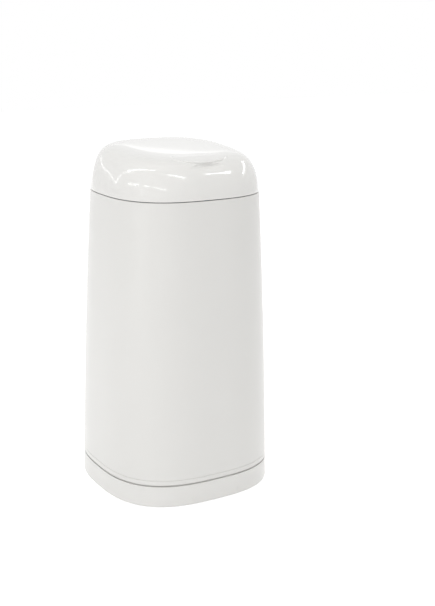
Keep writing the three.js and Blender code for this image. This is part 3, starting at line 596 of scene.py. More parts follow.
def lying(x: float, radius: float, y: float, z: float, steps: int) -> np.ndarray:
    """Points round an axis along X.

    Args:
        x: their x.
        radius: their distance from the axis.
        y: the axis's y.
        z: the axis's z.
        steps: number of points.

    Returns:
        The points.
    """
    angles = turns(steps)
    across, up = y + radius * np.cos(angles), z + radius * np.sin(angles)
    return np.stack([np.full(steps, x), across, up], 1)


def lathe(
    name: str, section: Sequence[Point], centre: Point, steps: int,
) -> bpy.types.Object:
    """Turns a closed section of radius and height about an upright axis.

    Args:
        name: the piece's name.
        section: radius and height of each point.
        centre: x and y of the axis.
        steps: number of facets.

    Returns:
        The object.
    """
    return ring_loft(name, [upright(turns(steps), r, z, centre) for r, z in section])


def rod(
    name: str, section: Sequence[Point], y: float, z: float, steps: int = 40,
) -> bpy.types.Object:
    """Turns an open section about an axis along X.

    Args:
        name: the piece's name.
        section: place along X and radius of each point.
        y: the axis's y.
        z: the axis's z.
        steps: number of facets.

    Returns:
        The object.
    """
    return loft(name, [lying(x, r, y, z, steps) for x, r in section])


def tube(name: str, path: np.ndarray, radius: float, sides: int = 10) -> bpy.types.Object:
    """Round wire along a path.

    Args:
        name: the piece's name.
        path: points in order.
        radius: the wire's radius.
        sides: facets round the wire.

    Returns:
        The object.
    """
    heading = np.gradient(path, axis=0)
    heading /= np.linalg.norm(heading, axis=1)[:, None]
    askew = (0.3, 0.2, 0.9)
    normal = np.cross(heading[0], askew)
    angles = turns(sides)
    rings = []
    for place, along in zip(path, heading):
        normal = normal - along * np.dot(normal, along)
        normal /= np.linalg.norm(normal)
        other = np.cross(along, normal)
        round_it = np.outer(np.cos(angles), normal) + np.outer(np.sin(angles), other)
        rings.append(place + radius * round_it)
    return loft(name, rings)


def applied(piece: bpy.types.Object) -> bpy.types.Object:
    """Turns a piece's modifiers into its plain mesh.

    Args:
        piece: the piece with its modifiers.

    Returns:
        The same piece without modifiers.
    """
    bpy.context.view_layer.update()
    evaluated = piece.evaluated_get(bpy.context.evaluated_depsgraph_get())
    mesh = bpy.data.meshes.new_from_object(evaluated)
    old = piece.data
    piece.modifiers.clear()
    piece.data = mesh
    bpy.data.meshes.remove(old)
    mesh.name = piece.name
    return piece


def softened(node: str, name: str, width: float) -> bpy.types.Object:
    """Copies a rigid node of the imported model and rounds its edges.

    Args:
        node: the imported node.
        name: the copy's name.
        width: the rounding's width.

    Returns:
        The copy.
    """
    flat, sharp = math.radians(0.4), math.radians(32.0)
    work = bmesh.new()
    work.from_mesh(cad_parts[node].data)
    bmesh.ops.remove_doubles(work, verts=work.verts, dist=FINE_MERGE * MM)
    bmesh.ops.dissolve_limit(work, angle_limit=flat, verts=work.verts, edges=work.edges)
    work.verts.index_update()
    places = np.array([v.co for v in work.verts]) / MM
    faces = [[v.index for v in f.verts] for f in work.faces]
    work.free()
    piece = raw_piece(name, places, faces)
    bevel = piece.modifiers.new("edges", "BEVEL")
    bevel.width = width * MM
    bevel.segments = 2
    bevel.limit_method = "ANGLE"
    bevel.angle_limit = sharp
    bevel.use_clamp_overlap = True
    return smooth(applied(piece))


def joined(main: bpy.types.Object, *others: bpy.types.Object) -> bpy.types.Object:
    """Puts the meshes of several pieces into the first one.

    Args:
        main: the piece that stays.
        others: the pieces whose meshes it takes.

    Returns:
        The first piece.
    """
    work = bmesh.new()
    for piece in (main, *others):
        work.from_mesh(piece.data)
    work.to_mesh(main.data)
    work.free()
    discard(*others)
    return smooth(main)


# Repeated forms

class RepeatKind(Enum):
    """How a template is repeated."""

    PLACES = "places"
    ROUND = "round"
    LINE = "line"


class RepeatTree(Nodes):
    """Geometry node tree that sets copies of a template in place, realized and dressed."""

    def __init__(self, kind: RepeatKind) -> None:
        """Builds the tree.

        Args:
            kind: how the copies are set out.
        """
        super().__init__(bpy.data.node_groups.new(f"repeat_{kind.value}", "GeometryNodeTree"))
        self.kind = kind
        sockets = self.tree.interface
        sockets.new_socket("Geometry", in_out="OUTPUT", socket_type="NodeSocketGeometry")
        named = {
            "Geometry": "Geometry", "Template": "Object", "Material": "Material", "Size": "Float",
        }
        if kind is not RepeatKind.PLACES:
            named |= {"Count": "Int", "Reach": "Float", "Centre": "Vector"}
        self.sockets = {}
        for name, form in named.items():
            socket = sockets.new_socket(name, in_out="INPUT", socket_type=f"NodeSocket{form}")
            self.sockets[name] = socket.identifier
        self.given = self.add("NodeGroupInput").outputs
        points, turn = self.layout()
        form = self.add("GeometryNodeObjectInfo", {"Object": self.given["Template"]})
        turned = self.add("FunctionNodeEulerToRotation", {"Euler": turn})
        copies = self.add("GeometryNodeInstanceOnPoints", {
            "Points": points, "Instance": form.outputs["Geometry"],
            "Rotation": turned.outputs["Rotation"], "Scale": self.given["Size"],
        })
        real = self.add("GeometryNodeRealizeInstances", {"Geometry": copies.outputs["Instances"]})
        dressed = self.add("GeometryNodeSetMaterial", {
            "Geometry": real.outputs["Geometry"], "Material": self.given["Material"],
        })
        self.add("NodeGroupOutput", {"Geometry": dressed.outputs["Geometry"]})

    def layout(self) -> tuple[Socket, Socket]:
        """Makes the points and the turn of each copy.

        Returns:
            Sockets of the points and of their rotation.
        """
        given = self.given
        if self.kind is RepeatKind.PLACES:
            turn = self.add(
                "GeometryNodeInputNamedAttribute", {"Name": "turn"}, data_type="FLOAT_VECTOR",
            )
            return given["Geometry"], turn.outputs["Attribute"]
        if self.kind is RepeatKind.ROUND:
            form = self.add(
                "GeometryNodeMeshCircle", {"Vertices": given["Count"], "Radius": given["Reach"]},
            )
            index = self.add("GeometryNodeInputIndex").outputs["Index"]
            share = self.add("ShaderNodeMath", {0: index, 1: given["Count"]}, operation="DIVIDE")
            whole = {0: share.outputs["Value"], 1: 2 * math.pi}
            angle = self.add("ShaderNodeMath", whole, operation="MULTIPLY")
            turn = self.add("ShaderNodeCombineXYZ", {"Z": angle.outputs["Value"]})
        else:
            step = self.add("ShaderNodeCombineXYZ", {"Z": given["Reach"]}).outputs["Vector"]
            form = self.add("GeometryNodeMeshLine", {"Count": given["Count"], "Offset": step})
            turn = self.add("ShaderNodeCombineXYZ")
        moved = self.add("GeometryNodeTransform", {
            "Geometry": form.outputs["Mesh"], "Translation": given["Centre"],
        })
        return moved.outputs["Geometry"], turn.outputs["Vector"]

    def make(
        self, name: str, template: bpy.types.Object, material: bpy.types.Material,
        places: Sequence[Sequence[float]] = ((0, 0, 0),), angles: Sequence[Sequence[float]] = (),
        values: dict[str, object] | None = None,
    ) -> bpy.types.Object:
        """Makes one plain mesh of all copies.

        Args:
            name: the piece's name.
            template: the repeated form, which is removed afterwards.
            material: the copies' material.
            places: points in millimetres, for copies on places.
            angles: turn of each copy about X, Y and Z, for copies that aren't upright.
            values: values of the other named inputs.

        Returns:
            The object.
        """
        piece = raw_piece(name, places)
        if self.kind is RepeatKind.PLACES:
            layer = piece.data.attributes.new("turn", "FLOAT_VECTOR", "POINT")
            upright_copies = [(0.0, 0.0, 0.0)] * len(places)
            layer.data.foreach_set("vector", [v for t in angles or upright_copies for v in t])
        modifier = piece.modifiers.new("repeat", "NODES")
        modifier.node_group = self.tree
        settings = {"Template": template, "Material": material, "Size": 1.0, **(values or {})}
        for key, value in settings.items():
            modifier[self.sockets[key]] = value
        applied(piece)
        discard(template)
        return smooth(piece)


class Workshop:
    """Holds the materials and the repeat trees, and finishes the pieces."""

    def __init__(self) -> None:
        """Builds each material and each tree once."""
        self.materials = {finish.slot: finish.build() for finish in FINISHES}
        self.places, self.round, self.line = (RepeatTree(kind) for kind in RepeatKind)

    def finish(self, piece: bpy.types.Object, slot: Slot, body: str, *nodes: str) -> None:
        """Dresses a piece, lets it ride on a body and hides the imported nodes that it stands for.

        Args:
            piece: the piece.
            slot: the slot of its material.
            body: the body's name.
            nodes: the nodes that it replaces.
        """
        piece.data.materials.clear()
        piece.data.materials.append(self.materials[slot])
        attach(piece, body)
        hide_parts(*nodes)
        log.info("%s rides on %s: %d faces", piece.name, body, len(piece.data.polygons))


# Outlines

@dataclass
class BodyOutline:
    """Tapered, slightly barrelled outline of the body, a rounded square at each height.

    Attributes:
        base: height of the ledge.
        seam: height of the top seam.
        base_half: half width and half depth at the ledge.
        seam_half: half width and half depth at the seam.
        barrel: swell as a share of the base's half width.
        corner: roundness of the corners.
    """

    base: float = 31.8
    seam: float = 434.0
    base_half: Point = (128.5, 125.5)
    seam_half: Point = (112.2, 110.5)
    barrel: float = 0.054
    corner: float = 0.725

    @property
    def power(self) -> float:
        """Power of the rounded square."""
        return 2 / self.corner

    def half(self, z: float) -> Point:
        """Size of the outline at a height.

        Args:
            z: the height.

        Returns:
            Half width and half depth.
        """
        share = (z - self.base) / (self.seam - self.base)
        swell = self.base_half[0] * self.barrel * share * (1 - share)
        return tuple(b + (s - b) * share + swell for b, s in zip(self.base_half, self.seam_half))

    def reach(self, angles: np.ndarray, half: Point) -> np.ndarray:
        """Distance from the middle to the outline.

        Args:
            angles: directions in plan.
            half: half width and half depth.

        Returns:
            One distance for each direction.
        """
        across = np.abs(np.cos(angles) / half[0]) ** self.power
        along = np.abs(np.sin(angles) / half[1]) ** self.power
        return (across + along) ** (-1 / self.power)

    def row(self, angles: np.ndarray, z: float, inset: float, outline: float) -> np.ndarray:
        """Points at a height on the outline that another height has.

        Args:
            angles: directions in plan.
            z: the height.
            inset: how far the outline is drawn in.
            outline: height whose outline is taken.

        Returns:
            The points.
        """
        half = self.half(outline)
        return upright(angles, self.reach(angles, (half[0] - inset, half[1] - inset)), z)

    def back(self, x: np.ndarray | float, z: float, inset: float) -> np.ndarray | float:
        """How far back the outline reaches at a place across.

        Args:
            x: the place or places.
            z: the height.
            inset: how far the outline is drawn in.

        Returns:
            One y for each place.
        """
        half = self.half(z)
        share = np.abs(np.asarray(x) / (half[0] - inset)) ** self.power
        return (half[1] - inset) * (1 - share) ** (1 / self.power)


BODY = BodyOutline()
FOOT_PLACES = [(x * 84.0, y * 82.0, 0.0) for x in (-1, 1) for y in (-1, 1)]


@dataclass
class Sleeve:
    """Outer sleeve with a hem band, rounded rims and the rear notch for the hinge.

    Attributes:
        low: height of its lower rim.
        high: height of its upper rim.
        wall: its thickness.
        edge: rounding of the rims.
        hem: height of the hem's groove over the lower rim.
        groove: the groove's depth.
        hem_shape: the hem's rows, as height over the groove and share of its depth.
        gaps: plain height over the hem, under the notch and under the upper rim.
        notch_half: half width of the rear notch.
        notch_low: height of the notch's lower edge.
        notch_columns: points across the notch.
        columns: points round the rest.
    """

    low: float = 34.0
    high: float = 433.4
    wall: float = 1.8
    edge: float = 0.5
    hem: float = 6.9
    groove: float = 0.9
    hem_shape: tuple[Point, ...] = (
        (-2.6, 0.2), (-0.5, 0.4), (-0.3, 1.0), (0.3, 1.0), (0.5, 0.1), (0.7, 0.0), (1.1, 0.0),
    )
    gaps: Triple = (14.0, 12.0, 1.2)
    notch_half: float = 43.2
    notch_low: float = 395.8
    notch_columns: int = 20
    columns: int = 236

    def levels(self) -> list[Point]:
        """Height and outer inset of each row."""
        hem, edge = self.low + self.hem, self.edge
        foot = [(0, edge), (0.1 * edge, 0.6 * edge), (0.4 * edge, 0.15 * edge), (edge, 0)]
        rows = [(self.low + z, inset) for z, inset in foot]
        rows += [(hem + z, share * self.groove) for z, share in self.hem_shape]
        over_hem, under_notch, under_rim = self.gaps
        plain = np.linspace(hem + over_hem, self.notch_low - under_notch, 22)
        notched = np.linspace(self.notch_low, self.high - under_rim, 5)
        rows += [(z, 0.0) for z in (*plain, *notched)]
        rows += [(self.high - z, inset) for z, inset in reversed(foot)]
        return rows

    def ring(self, z: float, inset: float) -> np.ndarray:
        """A row whose points stand along the notch's straight sides.

        Args:
            z: the height.
            inset: how far it is drawn in.

        Returns:
            The row's points, first those across the notch.
        """
        across = np.linspace(self.notch_half, -self.notch_half, self.notch_columns)
        back = np.stack([across, BODY.back(across, z, inset), np.full(self.notch_columns, z)], 1)
        start = math.atan2(back[-1][1], back[-1][0])
        end = math.atan2(back[0][1], back[0][0]) + 2 * math.pi
        angles = np.linspace(start, end, self.columns + 2)[1:-1]
        return np.concatenate([back, BODY.row(angles, z, inset, z)])

    def build(self, shop: Workshop) -> None:
        """Builds the sleeve.

        Args:
            shop: the workshop.
        """
        rows = self.levels()
        outer = [self.ring(z, inset) for z, inset in rows]
        inner = [self.ring(z, self.wall) for z, _ in rows]
        count = self.notch_columns + self.columns
        notch = next(i for i, (z, _) in enumerate(rows) if z > self.notch_low - self.edge)
        across = self.notch_columns - 1
        shift = len(rows) * count

        def at(row: int, column: int, inside: bool = False) -> int:
            """Number of a point in the grid."""
            return (shift if inside else 0) + row * count + column % count

        faces = []
        for r in range(len(rows) - 1):
            for c in range(count):
                if r >= notch and c < across:
                    continue
                square = ((r, c), (r, c + 1), (r + 1, c + 1), (r + 1, c))
                faces.append(tuple(at(*corner) for corner in square))
                faces.append(tuple(at(*corner, True) for corner in (square[0], *square[:0:-1])))
        top = len(rows) - 1
        for c in range(count):
            faces.append((at(0, c), at(0, c, True), at(0, c + 1, True), at(0, c + 1)))
            row = notch if c < across else top
            faces.append((at(row, c), at(row, c + 1), at(row, c + 1, True), at(row, c, True)))
        for r in range(notch, top):
            for c in (0, across):
                faces.append((at(r, c), at(r + 1, c), at(r + 1, c, True), at(r, c, True)))
        piece = new_piece("outer_sleeve", np.concatenate([*outer, *inner]), faces)
        shop.finish(piece, Slot.SLEEVE, "base", "sleeve")


@dataclass
class Bucket:
    """Inner bucket with the flared base ring, floor, underside ribs and foot bosses.

    Attributes:
        drop: gap between the floor and the skirt's lower edge.
        skirt: inset of the underside's hollow.
        underside: height of the hollow's roof.
        floor: height of the bucket's floor.
        floor_round: rounding between floor and wall.
        ledge: height of the ledge under the sleeve.
        channel: depth of the shadow gap round the ledge.
        outer: inset of the bucket's outer skin.
        inner: inset of its inner skin.
        rim: height of its rim.
        rib_pitch: distance between the underside's ribs.
        rib_half: half thickness of a rib.
        rib_low: height of a rib's lower edge.
        boss: inner and outer radius of a foot boss.
        boss_ends: height of a boss's lower and upper end.
        toe: rounding under the base ring.
        brow: rounding over the base ring.
        hub: insets of the flat rings round the middle.
    """

    drop: float = 1.0
    skirt: float = 5.0
    underside: float = 12.0
    floor: float = 14.5
    floor_round: float = 9.0
    ledge: float = 31.8
    channel: float = 1.2
    outer: float = 2.2
    inner: float = 4.6
    rim: float = 424.0
    rib_pitch: float = 74.0
    rib_half: float = 1.1
    rib_low: float = 4.0
    boss: Point = (2.9, 11.5)
    boss_ends: Point = (3.5, 13.3)
    toe: float = 2.0
    brow: float = 0.8
    hub: Point = (90.0, 40.0)

    def underneath(self) -> list[Point]:
        """Height and inset of each ring under the floor, out to the skirt's lower edge."""
        roof, skirt, drop = self.underside, self.skirt, self.drop
        rows = [(roof, inset) for inset in (*self.hub, skirt + 1.2)]
        rows += [(roof - 0.4, skirt + 0.3), (roof - 1.2, skirt)]
        return rows + [(drop + 0.3, skirt), (drop, skirt - 0.3)]

    def outside(self) -> list[Point]:
        """Height and inset of each ring up the base ring and the outer wall."""
        toe, brow, ledge = self.toe, self.brow, self.ledge
        rows = [(self.drop + toe * (1 - math.cos(t)), toe * (1 - math.sin(t))) for t in quarter(7)]
        rows += [(z, 0.0) for z in np.linspace(8, ledge - 2, 5)]
        rows += [(ledge - brow * (1 - math.sin(t)), brow * (1 - math.cos(t))) for t in quarter(5)]
        low, deep = ledge - self.channel, self.outer + 1.1
        rows += [(low, 1.0), (low, deep), (ledge + 2.4, deep), (ledge + 3.0, self.outer)]
        return rows + [(z, self.outer) for z in np.linspace(60, self.rim - 1.2, 20)]

    def inside(self) -> list[Point]:
        """Height and inset of each ring over the rim and down to the floor's middle."""
        middle, half = (self.outer + self.inner) / 2, (self.inner - self.outer) / 2
        rows = [
            (self.rim - half + half * math.sin(t), middle - half * math.cos(t))
            for t in np.linspace(0.2, math.pi - 0.2, 7)
        ]
        rows += [(z, self.inner) for z in np.linspace(self.rim - 3, 60, 18)]
        rows += [
            (self.floor + self.floor_round * (1 - math.sin(t)),
             self.inner + self.floor_round * (1 - math.cos(t)))
            for t in quarter(9)
        ]
        return rows + [(self.floor, inset) for inset in reversed(self.hub)]

    def ribs(self, shop: Workshop) -> list[bpy.types.Object]:
        """Ribs and foot bosses under the floor.

        Args:
            shop: the workshop.

        Returns:
            The parts to join to the bucket.
        """
        material, half = shop.materials[Slot.BASE], self.rib_pitch / 2
        reach = BODY.half(self.underside)[0] - self.skirt + 1
        rib = box_section(-self.rib_half, self.rib_half, self.rib_low, self.underside + 0.6)
        form = bar("rib_form", rounded(rib, 0.4, 3), -reach, reach)
        angles = [(0, 0, 0), (0, 0, 0), (0, 0, math.pi / 2), (0, 0, math.pi / 2)]
        places = [(0, half, 0), (0, -half, 0), (half, 0, 0), (-half, 0, 0)]
        bars = shop.places.make("base_ribs", form, material, places, angles)
        boss = rounded(box_section(*self.boss, *self.boss_ends), 0.5, 3)
        form = lathe("boss_form", boss, (0, 0), 40)
        bosses = shop.places.make("foot_bosses", form, material, FOOT_PLACES)
        return [bars, bosses]

    def build(self, shop: Workshop) -> None:
        """Builds the bucket.

        Args:
            shop: the workshop.
        """
        section = self.underneath() + self.outside() + self.inside()
        piece = loft("bucket_and_base", [BODY.row(turns(240), z, inset, z) for z, inset in section])
        joined(piece, *self.ribs(shop))
        shop.finish(piece, Slot.BASE, "base", "base_bucket")


@dataclass
class Feet:
    """Rubber feet with a ringed tread, pushed into the base by their stems.

    Attributes:
        radius: the pad's radius.
        pad: its thickness.
        stem: the stem's radius.
        rise: height of the stem over the pad.
        tread: radius and height of the ringed underside.
    """

    radius: float = 9.0
    pad: float = 3.2
    stem: float = 2.6
    rise: float = 5.0
    tread: tuple[Point, ...] = (
        (0.05, 0.5), (1.6, 0.5), (1.9, 0.0), (4.0, 0.0), (4.3, 0.6), (5.0, 0.6), (5.3, 0.0),
        (8.4, 0.0),
    )

    def build(self, shop: Workshop) -> None:
        """Builds the feet.

        Args:
            shop: the workshop.
        """
        radius, pad, stem, tip = self.radius, self.pad, self.stem, self.pad + self.rise
        section = [
            *self.tread, (radius, 0.6), (radius, pad - 0.5), (radius - 0.5, pad), (stem, pad),
            (stem, tip - 0.6), (stem - 0.6, tip), (0.05, tip),
        ]
        form = lathe("foot_form", section, (0, 0), 48)
        piece = shop.places.make("rubber_feet", form, shop.materials[Slot.SOFT], FOOT_PLACES)
        shop.finish(piece, Slot.SOFT, "base", "foot_1", "foot_2", "foot_3", "foot_4")


# Lid

TINY = 1e-6


@dataclass
class DomeForm:
    """Mathematical form of the dome: tight shoulder at the back, rounder one at the front.

    Attributes:
        rise: height of its top over the seam, in the middle.
        tilt: how much the top falls towards the front.
        rear: powers of the rear shoulder, as shares for plan and rise.
        front: powers of the front shoulder.
    """

    rise: float = 59.4
    tilt: float = 0.081
    rear: Point = (0.149, 2.0)
    front: Point = (0.2, 1.235)

    def powers(self, angles: np.ndarray) -> tuple[np.ndarray, np.ndarray]:
        """Powers of the shoulder.

        Args:
            angles: directions in plan.

        Returns:
            Powers for plan and rise in each direction.
        """
        front = (1 - np.sin(angles)) / 2
        plan = 2 / (self.rear[0] + (self.front[0] - self.rear[0]) * front)
        rise = 2 / (self.rear[1] + (self.front[1] - self.rear[1]) * front)
        return plan, rise

    def reach(self, angles: np.ndarray, inset: float) -> np.ndarray:
        """Distance from the middle to the dome's foot."""
        return BODY.reach(angles, (BODY.seam_half[0] - inset, BODY.seam_half[1] - inset))

    def surface(self, angles: np.ndarray, heights: np.ndarray, inset: float) -> np.ndarray:
        """Points on the dome at given shares of its height.

        Args:
            angles: directions in plan.
            heights: share of the full height for each direction.
            inset: how far the skin is drawn in.

        Returns:
            The points.
        """
        plan, rise = self.powers(angles)
        level = np.maximum(1 - heights ** rise, 0) ** (1 / plan)
        return self.place(angles, level, heights, inset)

    def top(self, angles: np.ndarray, levels: np.ndarray, inset: float) -> np.ndarray:
        """Points on the dome at given shares of its reach.

        Args:
            angles: directions in plan.
            levels: share of the full reach for each direction.
            inset: how far the skin is drawn in.

        Returns:
            The points.
        """
        plan, rise = self.powers(angles)
        heights = (1 - levels ** plan) ** (1 / rise)
        return self.place(angles, levels, heights, inset)

    def place(
        self, angles: np.ndarray, levels: np.ndarray, heights: np.ndarray, inset: float,
    ) -> np.ndarray:
        """Turns direction, reach and height into points.

        Args:
            angles: directions in plan.
            levels: share of the full reach for each direction.
            heights: share of the full height for each direction.
            inset: how far the skin is drawn in.

        Returns:
            The points.
        """
        reach = self.reach(angles, inset) * levels
        full = self.rise - inset + self.tilt * (reach * np.sin(angles))
        return upright(angles, reach, BODY.seam + full * heights)

    def field(self, p: np.ndarray, inset: float) -> np.ndarray:
        """Rough distance of points to the skin, negative inside.

        Args:
            p: the points.
            inset: how far the skin is drawn in.

        Returns:
            One distance for each point.
        """
        def value(q: np.ndarray) -> np.ndarray:
            """Implicit value of the dome, 0 on its skin.

            Args:
                q: the points.

            Returns:
                One value for each point.
            """
            angles = np.arctan2(q[:, 1], q[:, 0])
            plan, rise = self.powers(angles)
            level = np.hypot(q[:, 0], q[:, 1]) / self.reach(angles, inset)
            height = (q[:, 2] - BODY.seam) / (self.rise - inset + self.tilt * q[:, 1])
            return level ** plan + np.maximum(height, TINY) ** rise - 1

        step = 0.05
        slopes = [(value(p + e) - value(p - e)) / (2 * step) for e in np.eye(3) * step]
        return value(p) / np.maximum(np.sqrt(sum(s * s for s in slopes)), TINY)


@dataclass
class Lens:
    """A flattened ball, or an oval when it has two half sizes.

    Attributes:
        half: half sizes.
        centre: its middle.
    """

    half: tuple[float, ...]
    centre: tuple[float, ...]

    def field(self, p: np.ndarray) -> np.ndarray:
        """Rough distance of points to its skin, negative inside.

        Args:
            p: the points.

        Returns:
            One distance for each point.
        """
        local = p[:, :len(self.half)] - np.array(self.centre)
        half = np.array(self.half)
        near = np.linalg.norm(local / half, axis=1)
        slope = np.linalg.norm(local / half ** 2, axis=1)
        return near * (near - 1) / np.maximum(slope, TINY)


@dataclass
class FingerLip:
    """Thin oval plate that carries the dome's top forward over the scoop.

    Attributes:
        oval: its outline in plan.
        top: height of its rear edge.
        sag: how far its front edge lies below the rear one.
        bend: sag in the middle and its first two slopes, as shares.
        ends: places along the bend beyond which it doesn't change, where the rim is at -1 and 1.
        plate: its thickness.
        edge: rounding of its rim.
    """

    oval: Lens = field(default_factory=lambda: Lens((42.0, 22.0), (0.0, -70.0)))
    top: float = 489.2
    sag: float = 5.1
    bend: Triple = (0.281, 0.5, 0.219)
    ends: Point = (-1.2, 1.3)
    plate: float = 2.6
    edge: float = 1.1

    def field(self, p: np.ndarray) -> np.ndarray:
        """Rough distance of points to its skin, negative inside.

        Args:
            p: the points.

        Returns:
            One distance for each point.
        """
        place = np.clip((self.oval.centre[1] - p[:, 1]) / self.oval.half[1], *self.ends)
        share = self.bend[0] + self.bend[1] * place + self.bend[2] * place ** 2
        middle = self.top - self.sag * share - self.plate / 2
        across = self.oval.field(p) + self.edge
        up = np.abs(p[:, 2] - middle) - self.plate / 2 + self.edge
        outside = np.hypot(np.maximum(across, 0), np.maximum(up, 0))
        return np.minimum(np.maximum(across, up), 0) + outside - self.edge


def blend_min(a: np.ndarray, b: np.ndarray, width: float | np.ndarray) -> np.ndarray:
    """Smooth union of two distances."""
    h = np.maximum(width - np.abs(a - b), 0) / width
    return np.minimum(a, b) - h * h * width / 4


@dataclass
class DomeLid:
    """Domed lid with its finger lip and the scoop under it.

    Attributes:
        form: the dome.
        lip: the finger lip.
        scoop: the hollow under the lip.
        wall: the dome's thickness.
        bottom: height of the lower rim.
        edge: rounding of the lower rim.
        lip_blend: width of the blend between lip and dome.
        scoop_blend: rounding of the scoop's edges, at the heights of scoop_levels.
        scoop_levels: a low and a high level.
        front_columns: fine columns at the front.
        other_columns: columns round the rest.
        front_spread: half angle of the fine columns, in degrees.
        near: half width, rear edge and foot of the space where the skin leaves the dome.
        far_side: distance from the middle at which the rays lean no more, and over which width.
        far_back: distance in front of the middle at which they start to lean, and over which depth.
        lean: direction of the rays in front of the lip.
        search: farthest start and end of the search along a ray, and its step.
        band: lowest and highest share of the dome's height that the shoulder's rows take.
        outer_rows: rows of the outer skin, up the shoulder and over the top.
        inner_rows: rows of the inner skin.
    """

    form: DomeForm = field(default_factory=DomeForm)
    lip: FingerLip = field(default_factory=FingerLip)
    scoop: Lens = field(default_factory=lambda: Lens((34.0, 13.5, 5.8), (0.0, -103.5, 479.2)))
    wall: float = 2.4
    bottom: float = 434.4
    edge: float = 0.5
    lip_blend: float = 0.9
    scoop_blend: Point = (5.0, 0.8)
    scoop_levels: Point = (472.0, 479.0)
    front_columns: int = 180
    other_columns: int = 200
    front_spread: float = 36.0
    near: Triple = (64.0, -42.0, 458.0)
    far_side: Point = (62.0, 22.0)
    far_back: Point = (76.0, 20.0)
    lean: Triple = (0.0, -0.995, 0.1)
    search: Triple = (9.0, -20.0, 0.5)
    band: Point = (0.022, 0.95)
    outer_rows: tuple[int, int] = (84, 74)
    inner_rows: tuple[int, int] = (26, 12)

    def angles(self) -> np.ndarray:
        """Directions of the columns, dense at the front."""
        spread, front = math.radians(self.front_spread), -math.pi / 2
        first, last = front - spread, front + spread
        dense = np.linspace(first, last, self.front_columns, endpoint=False)
        rest = np.linspace(last, first + 2 * math.pi, self.other_columns, endpoint=False)
        return np.concatenate([dense, rest])

    def skin(self, p: np.ndarray) -> np.ndarray:
        """Rough distance of points to the whole outer skin.

        Args:
            p: the points.

        Returns:
            One distance for each point.
        """
        width = np.interp(p[:, 2], self.scoop_levels, self.scoop_blend)
        hollow = -blend_min(-self.form.field(p, 0.0), self.scoop.field(p), width)
        return blend_min(hollow, self.lip.field(p), self.lip_blend)

    def lining(self, p: np.ndarray) -> np.ndarray:
        """Rough distance to the inner skin."""
        grown = Lens(tuple(h + self.wall for h in self.scoop.half), self.scoop.centre)
        return np.maximum(self.form.field(p, self.wall), -grown.field(p))

    def rays(self, p: np.ndarray, normals: np.ndarray) -> np.ndarray:
        """Directions in which points move: outwards, and forwards in front of the lip.

        Args:
            p: points on the plain dome.
            normals: the dome's outward directions there.

        Returns:
            One direction for each point.
        """
        side = np.clip((self.far_side[0] - np.abs(p[:, 0])) / self.far_side[1], 0, 1)
        fore = np.clip((-self.far_back[0] - p[:, 1]) / self.far_back[1], 0, 1)
        share = (side * side * (3 - 2 * side) * fore * fore * (3 - 2 * fore))[:, None]
        rays = normals * (1 - share) + np.array(self.lean) * share
        return rays / np.linalg.norm(rays, axis=1)[:, None]

    def pushed(self, grid: np.ndarray, solid: Callable[[np.ndarray], np.ndarray]) -> np.ndarray:
        """Moves the points near the lip onto the real skin, along rays through the plain dome.

        Args:
            grid: rows of points on the plain dome.
            solid: distance to the real skin.

        Returns:
            The moved rows.
        """
        flat = grid.reshape(-1, 3)
        down = np.roll(grid, -1, 0) - grid
        down[-1] = down[-2]
        across = np.roll(grid, -1, 1) - np.roll(grid, 1, 1)
        normal = np.cross(across, down).reshape(-1, 3)
        normal /= np.maximum(np.linalg.norm(normal, axis=1), TINY)[:, None]
        normal *= np.sign(np.sum(normal * (flat - (0, 0, BODY.seam)), 1))[:, None]
        width, back, foot = self.near
        near = (np.abs(flat[:, 0]) < width) & (flat[:, 1] < back) & (flat[:, 2] > foot)
        p = flat[near]
        rays = self.rays(p, normal[near])
        first, last, stride = self.search
        low = np.full(len(p), first)
        found = np.zeros(len(p), bool)
        for step in np.arange(first, last, -stride):
            inside = solid(p + rays * step) < 0
            low = np.where(~found & inside, step, low)
            found |= inside
        low = np.where(found, low, 0)
        high = low + stride
        for _ in range(14):
            middle = (low + high) / 2
            inside = solid(p + rays * middle[:, None]) < 0
            low = np.where(inside, middle, low)
            high = np.where(inside, high, middle)
        flat = flat.copy()
        flat[near] = p + rays * ((low + high) / 2)[:, None]
        return flat.reshape(grid.shape)

    def grid(self, inset: float, sides: int, tops: int) -> np.ndarray:
        """Rows of points on the plain dome, from its foot to the pole.

        Args:
            inset: how far the skin is drawn in.
            sides: rows up the shoulder.
            tops: rows over the top.

        Returns:
            The rows.
        """
        angles = self.angles()
        low, high = self.band
        heights = low + (high - low) * np.sin(quarter(sides))
        rows = [self.form.surface(angles, np.full(len(angles), h), inset) for h in heights]
        plan, rise = self.form.powers(angles)
        edge = (1 - high ** rise) ** (1 / plan)
        for share in np.linspace(1, 0, tops)[1:-1]:
            rows.append(self.form.top(angles, edge * share, inset))
        return np.stack(rows)

    def build(self, shop: Workshop) -> None:
        """Builds the lid's shell.

        Args:
            shop: the workshop.
        """
        angles = self.angles()
        outer = self.pushed(self.grid(0.0, *self.outer_rows), self.skin)
        inner = self.pushed(self.grid(self.wall, *self.inner_rows), self.lining)
        bottom, edge = self.bottom, self.edge
        rim = [(bottom + edge, 0.0), (bottom + 0.3 * edge, 0.3 * edge), (bottom, edge)]
        rim.append((bottom, self.wall))
        rims = [BODY.row(angles, z, inset, BODY.seam) for z, inset in rim]
        piece = loft("dome_lid", [*outer[::-1], *rims, *inner])
        shop.finish(piece, Slot.LID, "lid", "lid_shell")


